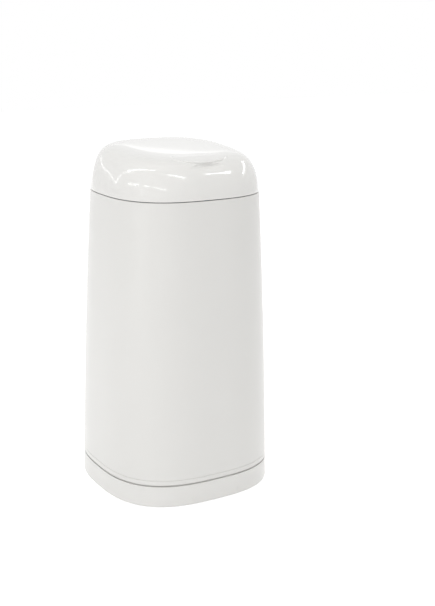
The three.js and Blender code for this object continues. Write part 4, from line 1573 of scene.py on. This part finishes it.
@dataclass
class LidLining:
    """Liner tray under the dome, the rib that presses the seal, and the rubber seal.

    Attributes:
        ceiling: height of its top.
        depth: its height.
        draw: how far its sides lean in.
        wall: its thickness.
        first: inset of the outer skin at the rim.
        insets: lean at each row, as shares.
        drops: drop at each row, as shares.
        centre: y of the seal's middle.
        seal: the seal's radius.
        seal_low: height of the seal's lower face.
        seal_shape: section of the seal, from its radius and its lower face.
        rib_low: height of the lower edge of the rib that the seal sits on.
        hub: insets of the flat rings round the middle.
        bend: rounding of the tray's corners.
        columns: points round it.
    """

    ceiling: float = 470.0
    depth: float = 33.8
    draw: float = 24.0
    wall: float = 1.8
    first: float = 2.4
    insets: tuple[float, ...] = (0.025, 0.125, 0.583, 1.0)
    drops: tuple[float, ...] = (1.0, 0.533, 0.1, 0.0)
    centre: float = 5.0
    seal: float = 76.0
    seal_low: float = 440.3
    seal_shape: tuple[Point, ...] = (
        (-2.2, 1.4), (-2.0, 0.4), (-1.1, 0.0), (0.0, 0.35), (1.1, 0.0), (2.0, 0.4), (2.2, 1.4),
        (2.2, 3.6), (1.8, 4.0), (1.3, 4.0), (1.3, 1.5), (-1.3, 1.5), (-1.3, 4.0), (-1.8, 4.0),
        (-2.2, 3.6),
    )
    rib_low: float = 442.0
    hub: Point = (40.0, 75.0)
    bend: float = 7.0
    columns: int = 200

    def rings(self, thickness: float) -> list[np.ndarray]:
        """Rings of one skin from the rim to the ceiling.

        Args:
            thickness: how far the skin lies within the outer one.

        Returns:
            The rings.
        """
        section = [
            (self.draw * i + self.first + thickness, self.ceiling - self.depth * d - thickness)
            for i, d in zip(self.insets, self.drops)
        ]
        section[0] = (section[0][0], self.ceiling - self.depth)
        fine = rounded(section, self.bend, 6, closed=False)
        fine += [(inset, fine[-1][1]) for inset in self.hub]
        return [BODY.row(turns(self.columns), z, inset, BODY.seam) for inset, z in fine]

    def build(self, shop: Workshop) -> None:
        """Builds the liner and its seal.

        Args:
            shop: the workshop.
        """
        liner = loft("lid_lining", [*self.rings(0.0)[::-1], *self.rings(self.wall)])
        rib = box_section(self.seal - 1, self.seal + 1, self.rib_low, self.ceiling - 1)
        joined(liner, lathe("seal_rib", rounded(rib, 0.4, 3), (0, self.centre), 160))
        shop.finish(liner, Slot.INNER, "lid", "lid_liner")
        section = [(self.seal + r, self.seal_low + z) for r, z in self.seal_shape]
        seal = lathe("lid_seal_ring", rounded(section, 0.25, 3), (0, self.centre), 180)
        shop.finish(seal, Slot.SOFT, "lid", "lid_seal")


# Fasteners and hinge

@dataclass
class Screws:
    """Cross-recessed screws of the bracket, the clamp and the liner.

    Attributes:
        head: radius of a head.
        thick: height of a head.
        shank: radius of a shank.
        pitch: distance between the thread's rows.
        recess: depth of the cross.
        arm: half thickness and half length of an arm of the cross.
        taper: size of the cross's floor, as a share of its mouth.
        seed: fixes how each cross is turned.
    """

    head: float = 3.2
    thick: float = 2.0
    shank: float = 1.4
    pitch: float = 0.55
    recess: float = 1.1
    arm: Point = (0.42, 1.9)
    taper: float = 0.45
    seed: int = 7

    def form(self, length: float) -> bpy.types.Object:
        """One screw with its head upwards, seated at height 0.

        Args:
            length: the shank's length under the head.

        Returns:
            The form.
        """
        head, thick, shank, pitch = self.head, self.thick, self.shank, self.pitch
        section = [
            (0.02, thick), (head * 0.45, thick), (head * 0.8, thick * 0.82), (head, thick * 0.4),
            (head, 0.0), (shank, 0.0),
        ]
        rows = range(int((length - 2) / pitch))
        section += [(shank * (1 if i % 2 else 0.8), -0.6 - pitch * i) for i in rows]
        section += [(shank * 0.7, -length + 1), (0.02, -length)]
        piece = lathe("screw_form", section, (0, 0), 32)
        ends = ((thick - self.recess, self.taper), (thick + 0.5, 1.0))
        for x, y in (self.arm, self.arm[::-1]):
            corners = [(sx * x * k, sy * y * k, z) for z, k in ends for sx, sy in CORNERS]
            cutter = raw_piece("cross", corners, [(3, 2, 1, 0), (4, 5, 6, 7), *band(2, 4)])
            cut = piece.modifiers.new("cross", "BOOLEAN")
            cut.object = cutter
            cut.solver = "EXACT"
            applied(piece)
            discard(cutter)
        return smooth(piece)

    def build(self, shop: Workshop) -> None:
        """Builds the screws of each body.

        Args:
            shop: the workshop.
        """
        steel = shop.materials[Slot.STEEL]
        rolls = np.random.default_rng(self.seed).uniform(0, math.pi / 2, 10)
        used = 0
        for name, body, prefix, count in (
            ("bracket_screws", "base", "bracket_screw_", 2),
            ("clamp_screws", "head", "clamp_screw_", 4),
            ("liner_screws", "lid", "liner_screw_", 4),
        ):
            nodes = [f"{prefix}{i + 1}" for i in range(count)]
            places, angles, length = [], [], 0.0
            for node, roll in zip(nodes, rolls[used:]):
                low, high = (Vector(corner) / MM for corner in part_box(node))
                middle = (low + high) / 2
                if body == "base":
                    places.append((middle.x, high.y - self.thick, middle.z))
                    angles.append((-math.pi / 2, 0, 0))
                    length = high.y - low.y - self.thick
                else:
                    places.append((middle.x, middle.y, low.z + self.thick))
                    angles.append((math.pi, 0, roll))
                    length = high.z - low.z - self.thick
            used += count
            piece = shop.places.make(name, self.form(length), steel, places, angles)
            shop.finish(piece, Slot.STEEL, body, *nodes)


@dataclass
class Hinge:
    """Rear hinge: bracket, steel pin with its cap, and the lid's leaf.

    Attributes:
        y: the axis's y.
        z: the axis's z.
        ear: outer face of the bracket's ears.
        pin: the pin's radius.
        head: radius of the pin's head.
        thick: thickness of the head and cap.
        play: gap between the head or cap and the ear.
        tail: how far the pin reaches beyond the ear.
    """

    y: float = 116.0
    z: float = 434.0
    ear: float = 42.5
    pin: float = 2.0
    head: float = 3.4
    thick: float = 1.5
    play: float = 0.3
    tail: float = 3.0

    def build(self, shop: Workshop) -> None:
        """Builds the hinge.

        Args:
            shop: the workshop.
        """
        bracket = softened("hinge_bracket", "rear_bracket", 0.5)
        shop.finish(bracket, Slot.BASE, "base", "hinge_bracket")
        leaf = softened("lid_hinge_leaf", "lid_leaf", 0.4)
        shop.finish(leaf, Slot.LID, "lid", "lid_hinge_leaf")
        head, thick, radius = self.head, self.thick, self.pin
        x0, x1 = -self.ear - self.play, self.ear + self.tail
        section = [
            (x0 - thick, 0.4 * head), (x0 - 0.9 * thick, 0.75 * head), (x0 - 0.5 * thick, head),
            (x0 - 0.1, head), (x0, head - 0.1), (x0, radius), (x1 - 0.6, radius),
            (x1, radius - 0.6),
        ]
        pin = rod("hinge_rod", section, self.y, self.z)
        shop.finish(pin, Slot.STEEL, "head", "hinge_pin")
        x0 = self.ear + self.play
        x1 = x0 + thick
        section = rounded([
            (x0, radius + 0.1), (x1 - 0.3, radius + 0.1), (x1, radius + 0.5),
            (x1 - 0.2, head - 0.1), (x0 + 0.5, head), (x0, head),
        ], 0.15, 3)
        cap = ring_loft("rod_cap", [lying(x, r, self.y, self.z, 48) for x, r in section])
        shop.finish(cap, Slot.STEEL, "head", "hinge_pin_cap")


# Head with its cassette, clamp, lock and cutter

@dataclass
class Cassette:
    """Film cassette: tub, closing ring with grip ribs, and the folded film.

    Attributes:
        centre: y of its middle.
        outer: the tub's outer radius.
        inner: the tub's inner radius.
        wall: the tub's wall.
        bottom: height of its underside.
        top: height of its rim.
        deck: height of the deck that its flange rests on.
        flange: the flange's width.
        cap_top: height of the ring's top.
        grips: number of grip ribs.
        grip_ends: height of a rib's lower and upper end.
        layers: counts of the film's pleats.
        columns: points round the film.
        seed: fixes the pleats.
        pleat: the pleats' mean depth, waves and rows.
        deepest: greatest depth of a pleat.
    """

    centre: float = 5.0
    outer: float = 87.5
    inner: float = 57.5
    wall: float = 2.0
    bottom: float = 388.0
    top: float = 436.0
    deck: float = 426.8
    flange: float = 4.5
    cap_top: float = 440.0
    grips: int = 96
    grip_ends: Point = (431.9, 438.4)
    layers: tuple[int, ...] = (23, 37, 51, 68, 83, 97)
    columns: int = 260
    seed: int = 11
    pleat: Triple = (0.5, 0.22, 0.35)
    deepest: float = 2.4

    def tub(self) -> list[Point]:
        """Section of the tub."""
        o, i, w = self.outer, self.inner, self.wall
        low = self.deck + 0.3
        return rounded([
            (i, self.bottom), (o, self.bottom), (o, low), (o + self.flange, low),
            (o + self.flange, low + 2.2), (o, low + 2.2), (o, self.top), (o - w, self.top),
            (o - w, self.bottom + w), (i + w, self.bottom + w), (i + w, self.top), (i, self.top),
        ], 0.7, 4)

    def ring(self) -> list[Point]:
        """Section of the closing ring, with a shallow finger channel on top."""
        inner = self.inner + self.wall + 3
        low, skirt = self.top + 0.3, self.outer + 0.3
        top = self.cap_top
        return rounded([
            (inner, low), (skirt, low), (skirt, low - 5), (skirt + 2, low - 5),
            (skirt + 2, top - 1), (skirt + 1, top), (skirt - 5, top), (skirt - 6.5, top - 1),
            (inner + 9, top - 1), (inner + 7.5, top), (inner + 1, top), (inner, top - 1),
        ], 0.6, 4)

    def folded(self) -> bpy.types.Object:
        """Folded film in the tub: layer on layer with uneven pleats."""
        a, b = self.inner + self.wall + 0.4, self.outer - self.wall - 0.4
        low, top = self.bottom + self.wall + 0.4, self.top - 5.2
        corners = [(a, low), (b, low), (b, top - 3), (b - 4, top), (a + 4, top), (a, top - 3)]
        section = np.array(rounded(corners, 3, 8))
        runs = zip(section, np.roll(section, -1, 0))
        dense = np.concatenate([np.linspace(p, q, 4, endpoint=False) for p, q in runs])
        rng = np.random.default_rng(self.seed)
        phases = rng.uniform(0, 2 * math.pi, (len(self.layers), 2))
        middle = np.array([(a + b) / 2, (low + top) / 2])
        angles = turns(self.columns)
        mean, waves, rows = self.pleat
        rings = []
        for k, (r, z) in enumerate(dense):
            inward = middle - (r, z)
            inward /= np.linalg.norm(inward)
            wave = sum(
                np.sin(count * angles + first + rows * math.sin(k * 0.9 + second))
                for count, (first, second) in zip(self.layers, phases)
            )
            depth = mean + waves * wave + rows * (1 + math.sin(z * 3.1))
            depth = np.clip(depth, 0, self.deepest)
            reach, height = r + inward[0] * depth, z + inward[1] * depth
            rings.append(upright(angles, reach, height, (0, self.centre)))
        return ring_loft("folded_film", rings)

    def build(self, shop: Workshop) -> None:
        """Builds the cassette.

        Args:
            shop: the workshop.
        """
        tub = lathe("cassette_tub", self.tub(), (0, self.centre), 180)
        shop.finish(tub, Slot.CASSETTE, "head", "cassette_tray")
        ring = lathe("cassette_ring", self.ring(), (0, self.centre), 180)
        form = bar("grip_form", box_section(-0.35, 0.35, *self.grip_ends), -0.6, 0.35)
        grips = shop.round.make(
            "cassette_grips", form, shop.materials[Slot.CASSETTE], values={
                "Count": self.grips, "Reach": (self.outer + 2.3) * MM,
                "Centre": (0, self.centre * MM, 0),
            },
        )
        joined(ring, grips)
        shop.finish(ring, Slot.CASSETTE, "head", "cassette_cap")
        pack = self.folded()
        shop.finish(pack, Slot.FILM, "head", "film_pack")


@dataclass
class FilmTube:
    """Film from the cassette's slit over its rim, down the throat, through the jaws to its knot.

    Attributes:
        centre: y of its middle.
        thick: thickness of the shown film.
        columns: points round it.
        pleats: counts of its pleats.
        drift: how far a pleat wanders, and how fast along the film.
        flattest: largest share of the half depth that a pleat takes.
        tip: how far the middle of its end is drawn up.
        seed: fixes the pleats.
    """

    centre: float = 5.0
    thick: float = 0.3
    columns: int = 264
    pleats: tuple[int, ...] = (17, 29, 43)
    drift: Point = (0.9, 0.045)
    flattest: float = 0.6
    tip: float = 2.0
    seed: int = 23

    def stations(self) -> list[tuple[float, float, float, float]]:
        """Half width, half depth, height and pleat depth along the film."""
        return [
            (60.3, 60.3, 431.9, 0.2), (60.3, 60.3, 435.6, 0.2), (60.0, 60.0, 436.6, 0.15),
            (58.8, 58.8, 437.0, 0.1), (57.4, 57.4, 436.7, 0.15), (56.7, 56.7, 435.4, 0.3),
            (56.6, 56.6, 428.0, 0.8), (56.6, 56.6, 412.0, 1.2), (56.6, 56.6, 396.0, 1.5),
            (56.3, 56.3, 387.0, 1.7), (55.4, 55.4, 380.6, 2.0), (52.5, 46.0, 376.6, 2.2),
            (47.0, 31.0, 373.4, 2.0), (42.0, 16.0, 371.4, 1.4), (39.0, 5.0, 370.2, 0.8),
            (38.0, 1.4, 369.0, 0.35), (38.0, 0.9, 367.4, 0.2), (38.0, 0.9, 362.8, 0.2),
            (36.6, 1.1, 360.2, 0.4), (31.2, 1.3, 354.9, 1.0), (25.0, 2.0, 350.0, 1.4),
            (19.0, 2.7, 345.6, 1.7), (13.6, 4.4, 340.5, 1.8), (9.9, 5.5, 335.1, 1.7),
            (6.6, 5.6, 330.6, 1.4), (5.5, 5.5, 327.2, 1.0), (8.4, 8.4, 324.6, 0.9),
            (10.8, 10.8, 321.2, 0.8), (11.0, 11.0, 317.6, 0.8), (8.6, 8.6, 313.6, 0.9),
            (5.5, 5.5, 310.0, 0.8), (7.0, 6.0, 305.6, 1.4), (11.0, 7.6, 300.8, 2.0),
            (14.3, 8.8, 296.9, 2.4),
        ]

    def build(self, shop: Workshop) -> None:
        """Builds the film.

        Args:
            shop: the workshop.
        """
        marks = np.array(self.stations())
        runs = np.linalg.norm(np.diff(marks[:, 1:3], axis=0), axis=1)
        span = np.concatenate([[0], np.cumsum(runs)])
        fine = [np.linspace(a, b, 5, endpoint=False) for a, b in zip(span[:-1], span[1:])]
        fine = np.concatenate([*fine, span[-1:]])
        tracks = [np.interp(fine, span, marks[:, k]) for k in range(4)]
        rng = np.random.default_rng(self.seed)
        phases = rng.uniform(0, 2 * math.pi, len(self.pleats))
        columns, angles = self.columns, turns(self.columns)
        rings = []
        for along, wide, deep, height, fold in zip(fine, *tracks):
            wave = np.zeros(columns)
            for count, phase in zip(self.pleats, phases):
                wander = self.drift[0] * math.sin(along * self.drift[1] + phase)
                wave += (1 + np.sin(count * angles + phase + wander)) / (2 * len(self.pleats))
            x = (wide - fold * wave) * np.cos(angles)
            y = (deep - np.minimum(fold * wave, deep * self.flattest)) * np.sin(angles)
            rings.append(np.stack([x, self.centre + y, np.full(columns, height)], 1))
        points = np.concatenate([*rings, [rings[-1].mean(0) + (0, 0, self.tip)]])
        faces = band(len(rings), columns)
        last = (len(rings) - 1) * columns
        faces += [(len(points) - 1, last + c, last + (c + 1) % columns) for c in range(columns)]
        piece = raw_piece("film_sleeve", points, faces)
        solid = piece.modifiers.new("thickness", "SOLIDIFY")
        solid.thickness = self.thick * MM
        solid.offset = 0.0
        applied(piece)
        smooth(piece, 60)
        shop.finish(piece, Slot.FILM, "head", "film_tube")


@dataclass
class Clamp:
    """Clamp housing with two sprung jaws, their rubber lips, pins and springs.

    Attributes:
        centre: y of its middle.
        reach: distance of each jaw pin from the middle.
        z: height of the pins.
        half: half length of a pin.
        pin: the pin's radius.
        coil: radius of a spring's coil.
        wire: the wire's diameter.
        pitch: distance between turns.
        turns: number of turns.
        arm: length of the arm under the flap.
        wall: y of the housing's rear wall, inside.
        flap: half thickness of a flap.
        gap: distance between a spring's arm and what it rests on.
        steps: points in one turn of a spring.
    """

    centre: float = 5.0
    reach: float = 60.0
    z: float = 366.0
    half: float = 63.7
    pin: float = 2.0
    coil: float = 3.5
    wire: float = 0.9
    pitch: float = 1.7
    turns: int = 4
    arm: float = 16.0
    wall: float = 74.6
    flap: float = 1.5
    gap: float = 0.3
    steps: int = 28

    def spring(self, side: int) -> np.ndarray:
        """Path of a spring's wire.

        Args:
            side: 1 for the rear jaw, -1 for the front one.

        Returns:
            The path's points.
        """
        y, z, coil, wire = self.centre + self.reach, self.z, self.coil, self.wire
        half = self.turns * self.pitch / 2
        share = np.arange(self.turns * self.steps + 1) / self.steps
        angle = 2 * math.pi * share
        x = self.pitch * share - half
        helix = np.stack([x, y - coil * np.sin(angle), z + coil * np.cos(angle)], 1)
        out = half + self.pitch / 2
        low = z - self.flap - self.gap - wire / 2
        wall = self.wall - self.gap - wire / 2
        first = [(-out, wall, z + coil + wire), (-out, y + wire, z + coil)]
        last = [(out, y - coil, z), (out, y - coil - wire, low), (out, y - coil - self.arm, low)]
        path = np.concatenate([self.bent(first), helix, self.bent(last)])
        if side < 0:
            path = np.stack([-path[:, 0], 2 * self.centre - path[:, 1], path[:, 2]], 1)
        return path

    def bent(self, corners: Sequence[Sequence[float]]) -> np.ndarray:
        """Splits an arm of a spring into short runs."""
        runs = [np.linspace(a, b, 8, endpoint=False) for a, b in zip(corners[:-1], corners[1:])]
        return np.concatenate([*runs, [corners[-1]]])

    def build(self, shop: Workshop) -> None:
        """Builds the clamp.

        Args:
            shop: the workshop.
        """
        housing = softened("clamp_housing", "clamp_box", 0.4)
        shop.finish(housing, Slot.INNER, "head", "clamp_housing")
        for side, word in ((1, "rear"), (-1, "front")):
            body = f"{word}_jaw"
            flap = softened(f"jaw_{word}", f"{word}_flap", 0.4)
            shop.finish(flap, Slot.JAW, body, f"jaw_{word}")
            lip = softened(f"jaw_lip_{word}", f"{word}_lip", 0.7)
            shop.finish(lip, Slot.SOFT, body, f"jaw_lip_{word}")
            section = [
                (-self.half, self.pin - 0.4), (-self.half + 0.4, self.pin),
                (self.half - 0.4, self.pin), (self.half, self.pin - 0.4),
            ]
            pin = rod(f"{word}_pin", section, self.centre + side * self.reach, self.z)
            shop.finish(pin, Slot.STEEL, "head", f"jaw_pin_{word}")
            spring = tube(f"{word}_spring", self.spring(side), self.wire / 2)
            shop.finish(spring, Slot.STEEL, body, f"jaw_spring_{word}")


@dataclass
class Head:
    """Lift-up head: frame, lock slider with its keeper, and the film cutter.

    Attributes:
        ridges: number of ridges on a grip.
        pitch: distance between ridges.
        first: height of the lowest ridge.
        side: distance from a ridge's end to the grip's side.
    """

    ridges: int = 4
    pitch: float = 2.6
    first: float = 340.6
    side: float = 1.6

    def ridged(self, piece: bpy.types.Object, node: str, slot: Slot, shop: Workshop) -> None:
        """Adds moulded finger ridges to the rear face of a grip.

        Args:
            piece: the grip.
            node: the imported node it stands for.
            slot: the finish.
            shop: the workshop.
        """
        low, high = (Vector(corner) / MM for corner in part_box(node))
        half = (high.x - low.x) / 2 - self.side
        section = rounded(box_section(-0.4, -0.02, -0.5, 0.5), 0.2, 3)
        form = bar("ridge_form", section, -half, half)
        middle = ((low.x + high.x) / 2 * MM, high.y * MM, self.first * MM)
        ridges = shop.line.make(
            f"{piece.name}_ridges", form, shop.materials[slot],
            values={"Count": self.ridges, "Reach": self.pitch * MM, "Centre": middle},
        )
        joined(piece, ridges)

    def build(self, shop: Workshop) -> None:
        """Builds the head's rigid parts.

        Args:
            shop: the workshop.
        """
        for node, name, body, slot, width in (
            ("head_frame", "head_deck", "head", Slot.INNER, 0.4),
            ("lock_slider", "head_lock", "lock", Slot.ACCENT, 0.35),
            ("lock_keeper", "lock_wedge", "base", Slot.BASE, 0.4),
            ("cutter_slider", "film_cutter", "cutter", Slot.ACCENT, 0.35),
            ("cutter_blade", "cutting_edge", "cutter", Slot.STEEL, 0.08),
        ):
            piece = softened(node, name, width)
            if node == "cutter_slider":
                self.ridged(piece, node, slot, shop)
            shop.finish(piece, slot, body, node)


# Studio

@dataclass(frozen=True)
class Panel:
    """Soft lamp that faces the bin and doesn't show in its gloss.

    Attributes:
        name: its name.
        place: where it stands, in metres.
        size: its width and height in metres.
        power: its power in watts.
        aim: the point in the bin that it faces, in metres.
    """

    name: str
    place: Sequence[float]
    size: Point
    power: float
    aim: Triple = (0.0, 0.0, 0.25)

    def build(self) -> bpy.types.Object:
        """Makes the lamp."""
        data = bpy.data.lights.new(self.name, "AREA")
        data.shape = "RECTANGLE"
        data.size, data.size_y = self.size
        data.energy = self.power
        lamp = bpy.data.objects.new(self.name, data)
        lamp.location = self.place
        heading = Vector(self.aim) - Vector(self.place)
        lamp.rotation_euler = heading.to_track_quat("-Z", "Y").to_euler()
        lamp.visible_camera = False
        lamp.visible_glossy = False
        bpy.context.scene.collection.objects.link(lamp)
        return lamp


@dataclass(frozen=True)
class Strip:
    """Narrow bright lamp that only shows in the gloss, and draws an arc on the lid.

    Attributes:
        name: its name.
        ends: turn from the front and height of both ends, in degrees, seen from the lid.
        width: its width in metres.
        glow: how bright it is, where white is 1.
        lid: the point that it is seen from, in metres.
        distance: how far from that point it stands, in metres.
    """

    name: str
    ends: tuple[Point, Point]
    width: float
    glow: float
    lid: Triple = (0.0, 0.0, 0.46)
    distance: float = 2.2

    def end(self, turn: float, rise: float) -> Vector:
        """Place of an end.

        Args:
            turn: its turn in degrees.
            rise: its height in degrees.

        Returns:
            The place in metres.
        """
        turn, rise = math.radians(turn), math.radians(rise)
        flat = math.cos(rise)
        heading = Vector((math.sin(turn) * flat, -math.cos(turn) * flat, math.sin(rise)))
        return Vector(self.lid) + heading * self.distance

    def build(self) -> None:
        """Makes the lamp."""
        start, end = (self.end(*angles) for angles in self.ends)
        span, middle = end - start, (start + end) / 2
        power = math.pi * span.length * self.width * self.glow
        lamp = Panel(self.name, middle, (span.length, self.width), power).build()
        along, back = span.normalized(), (middle - Vector(self.lid)).normalized()
        across = back.cross(along).normalized()
        axes = Matrix((along, across, along.cross(across))).transposed()
        lamp.rotation_euler = axes.to_euler()
        lamp.visible_glossy = True
        lamp.visible_diffuse = False


LAMPS = (
    Panel("left_panel", (-2.1, -0.5, 0.9), (0.8, 1.8), 12),
    Panel("front_panel", (0.4, -2.6, 1.9), (1.6, 1.0), 12),
    Panel("top_panel", (0.1, -0.2, 2.6), (1.6, 1.2), 15),
    Strip("left_edge_strip", ((-172, 12), (-138, 5)), 0.045, 1.7),
    Strip("left_corner_strip", ((-138, 4), (-121, 31)), 0.06, 2.6),
    Strip("upper_left_strip", ((-123, 28), (-62, 66)), 0.15, 5),
    Strip("upper_front_strip", ((-19, 52), (12, 35)), 0.15, 5.5),
    Strip("lower_left_strip", ((-110, 13), (-84, 18)), 0.06, 5),
    Strip("lower_middle_strip", ((-74, 19), (-58, 20)), 0.06, 5),
    Strip("lower_front_strip", ((-50, 19), (-22, 15)), 0.06, 5),
    Strip("front_right_strip", ((38, 40), (54, 32)), 0.3, 7),
    Strip("right_strip", ((112, 31), (70, 19)), 0.14, 4),
)


@dataclass
class Studio:
    """Floor, white surroundings, lamps and the camera.

    Attributes:
        place: camera's place on the floor plan and its height, in metres.
        heading: turn of the view about the upright axis.
        pitch: how far the view looks down.
        lens: focal length on a film of the given width.
        film: the film's width in millimetres.
        shift: sideways shift of the frame.
        clip: nearest and farthest distance seen, in metres.
        ambient: strength of the light from all round.
        bands: strength of the surroundings in reflections, at heights in degrees.
        peak: value that no band passes.
        paint: the floor's grey.
        glow: light that the floor adds where it is seen.
        half: half width of the floor in metres.
    """

    place: Triple = (-0.7403, -1.3329, 0.6759)
    heading: float = 0.507
    pitch: float = 0.2637
    lens: float = 63.55
    film: float = 36.0
    shift: float = 0.0718
    clip: Point = (0.05, 60.0)
    ambient: float = 0.6
    bands: tuple[Point, ...] = (
        (14.92, 0.97), (15.08, 1.7), (15.22, 1.7), (15.38, 0.9), (32.0, 0.8), (60.0, 0.6),
    )
    peak: float = 2.5
    paint: float = 0.93
    glow: float = 0.6
    half: float = 6.0

    def camera(self) -> None:
        """Sets up the camera at the photograph's angle."""
        data = bpy.data.cameras.new("view")
        data.lens = self.lens
        data.sensor_width = self.film
        data.shift_x = self.shift
        data.clip_start, data.clip_end = self.clip
        camera = bpy.data.objects.new("view", data)
        camera.location = self.place
        camera.rotation_euler = (math.pi / 2 - self.pitch, 0, -self.heading)
        bpy.context.scene.collection.objects.link(camera)
        bpy.context.scene.camera = camera

    def seen(self, nodes: Nodes) -> Socket:
        """Adds nodes that tell rays of sight, gloss and clear material from rays of light.

        Args:
            nodes: the tree.

        Returns:
            Socket that is 1 on those rays.
        """
        path = nodes.add("ShaderNodeLightPath")
        total = path.outputs["Is Camera Ray"]
        for name in ("Is Glossy Ray", "Is Transmission Ray"):
            plus = {0: total, 1: path.outputs[name]}
            total = nodes.add("ShaderNodeMath", plus, operation="ADD", use_clamp=True).outputs[0]
        return total

    def surroundings(self) -> None:
        """White all round, with its own strength as light."""
        world = bpy.data.worlds.new("surroundings")
        bpy.context.scene.world = world
        world.use_nodes = True
        nodes = Nodes(world.node_tree)
        white = (1, 1, 1, 1)
        light = nodes.add("ShaderNodeBackground", {"Color": white, "Strength": self.ambient})
        strength = self.ceiling(nodes)
        shown = nodes.add("ShaderNodeBackground", {"Color": white, "Strength": strength})
        mix = {0: self.seen(nodes), 1: light.outputs[0], 2: shown.outputs[0]}
        both = nodes.add("ShaderNodeMixShader", mix)
        nodes.add("ShaderNodeOutputWorld", {"Surface": both.outputs[0]})

    def ceiling(self, nodes: Nodes) -> Socket:
        """Gives reflections a backdrop, its bright edge and a dimmer ceiling, as in a studio.

        Args:
            nodes: the world's tree.

        Returns:
            Socket of the strength, which is 1 where the surroundings are seen directly.
        """
        place = nodes.add("ShaderNodeTexCoord").outputs["Generated"]
        height = nodes.add("ShaderNodeSeparateXYZ", {"Vector": place}).outputs["Z"]
        ramp = nodes.add("ShaderNodeValToRGB", {"Fac": height})
        stops = ramp.color_ramp.elements
        while len(stops) < len(self.bands):
            stops.new(0.5)
        for stop, (angle, value) in zip(stops, self.bands):
            stop.position = math.sin(math.radians(angle))
            stop.color = (*[value / self.peak] * 3, 1.0)
        scaled = {0: ramp.outputs["Color"], 1: self.peak}
        bands = nodes.add("ShaderNodeMath", scaled, operation="MULTIPLY").outputs["Value"]
        glossy = nodes.add("ShaderNodeLightPath").outputs["Is Glossy Ray"]
        mix = nodes.add("ShaderNodeMix", {"Factor": glossy, "A": 1.0, "B": bands})
        return mix.outputs["Result"]

    def floor(self) -> None:
        """Pale floor that keeps the bin's shadow."""
        mesh = bpy.data.meshes.new("floor")
        corners = [(x * self.half, y * self.half, 0) for x, y in CORNERS]
        mesh.from_pydata(corners, [], [(0, 1, 2, 3)])
        floor = bpy.data.objects.new("floor", mesh)
        bpy.context.scene.collection.objects.link(floor)
        material = bpy.data.materials.new("floor")
        material.use_nodes = True
        nodes = Nodes(material.node_tree)
        matt = nodes.add("ShaderNodeBsdfDiffuse", {"Color": (*[self.paint] * 3, 1)})
        share = {0: self.seen(nodes), 1: self.glow}
        strength = nodes.add("ShaderNodeMath", share, operation="MULTIPLY").outputs[0]
        glow = nodes.add("ShaderNodeEmission", {"Color": (1, 1, 1, 1), "Strength": strength})
        both = nodes.add("ShaderNodeAddShader", {0: matt.outputs[0], 1: glow.outputs[0]})
        nodes.add("ShaderNodeOutputMaterial", {"Surface": both.outputs[0]})
        mesh.materials.append(material)

    def build(self) -> None:
        """Builds the studio."""
        self.camera()
        self.surroundings()
        self.floor()
        for lamp in LAMPS:
            lamp.build()
        bpy.context.scene.view_settings.view_transform = "Standard"


def write_sizes() -> None:
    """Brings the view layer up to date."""
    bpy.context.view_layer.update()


def main() -> None:
    """Builds the studio and then each sub-assembly in order."""
    logging.basicConfig(level=logging.INFO, format="%(name)s: %(message)s")
    Studio().build()
    shop = Workshop()
    for assembly in (
        Sleeve(), Bucket(), Feet(), DomeLid(), LidLining(), Hinge(), Screws(), Head(),
        Cassette(), FilmTube(), Clamp(),
    ):
        assembly.build(shop)
    write_sizes()


if __name__ == "__main__":
    main()
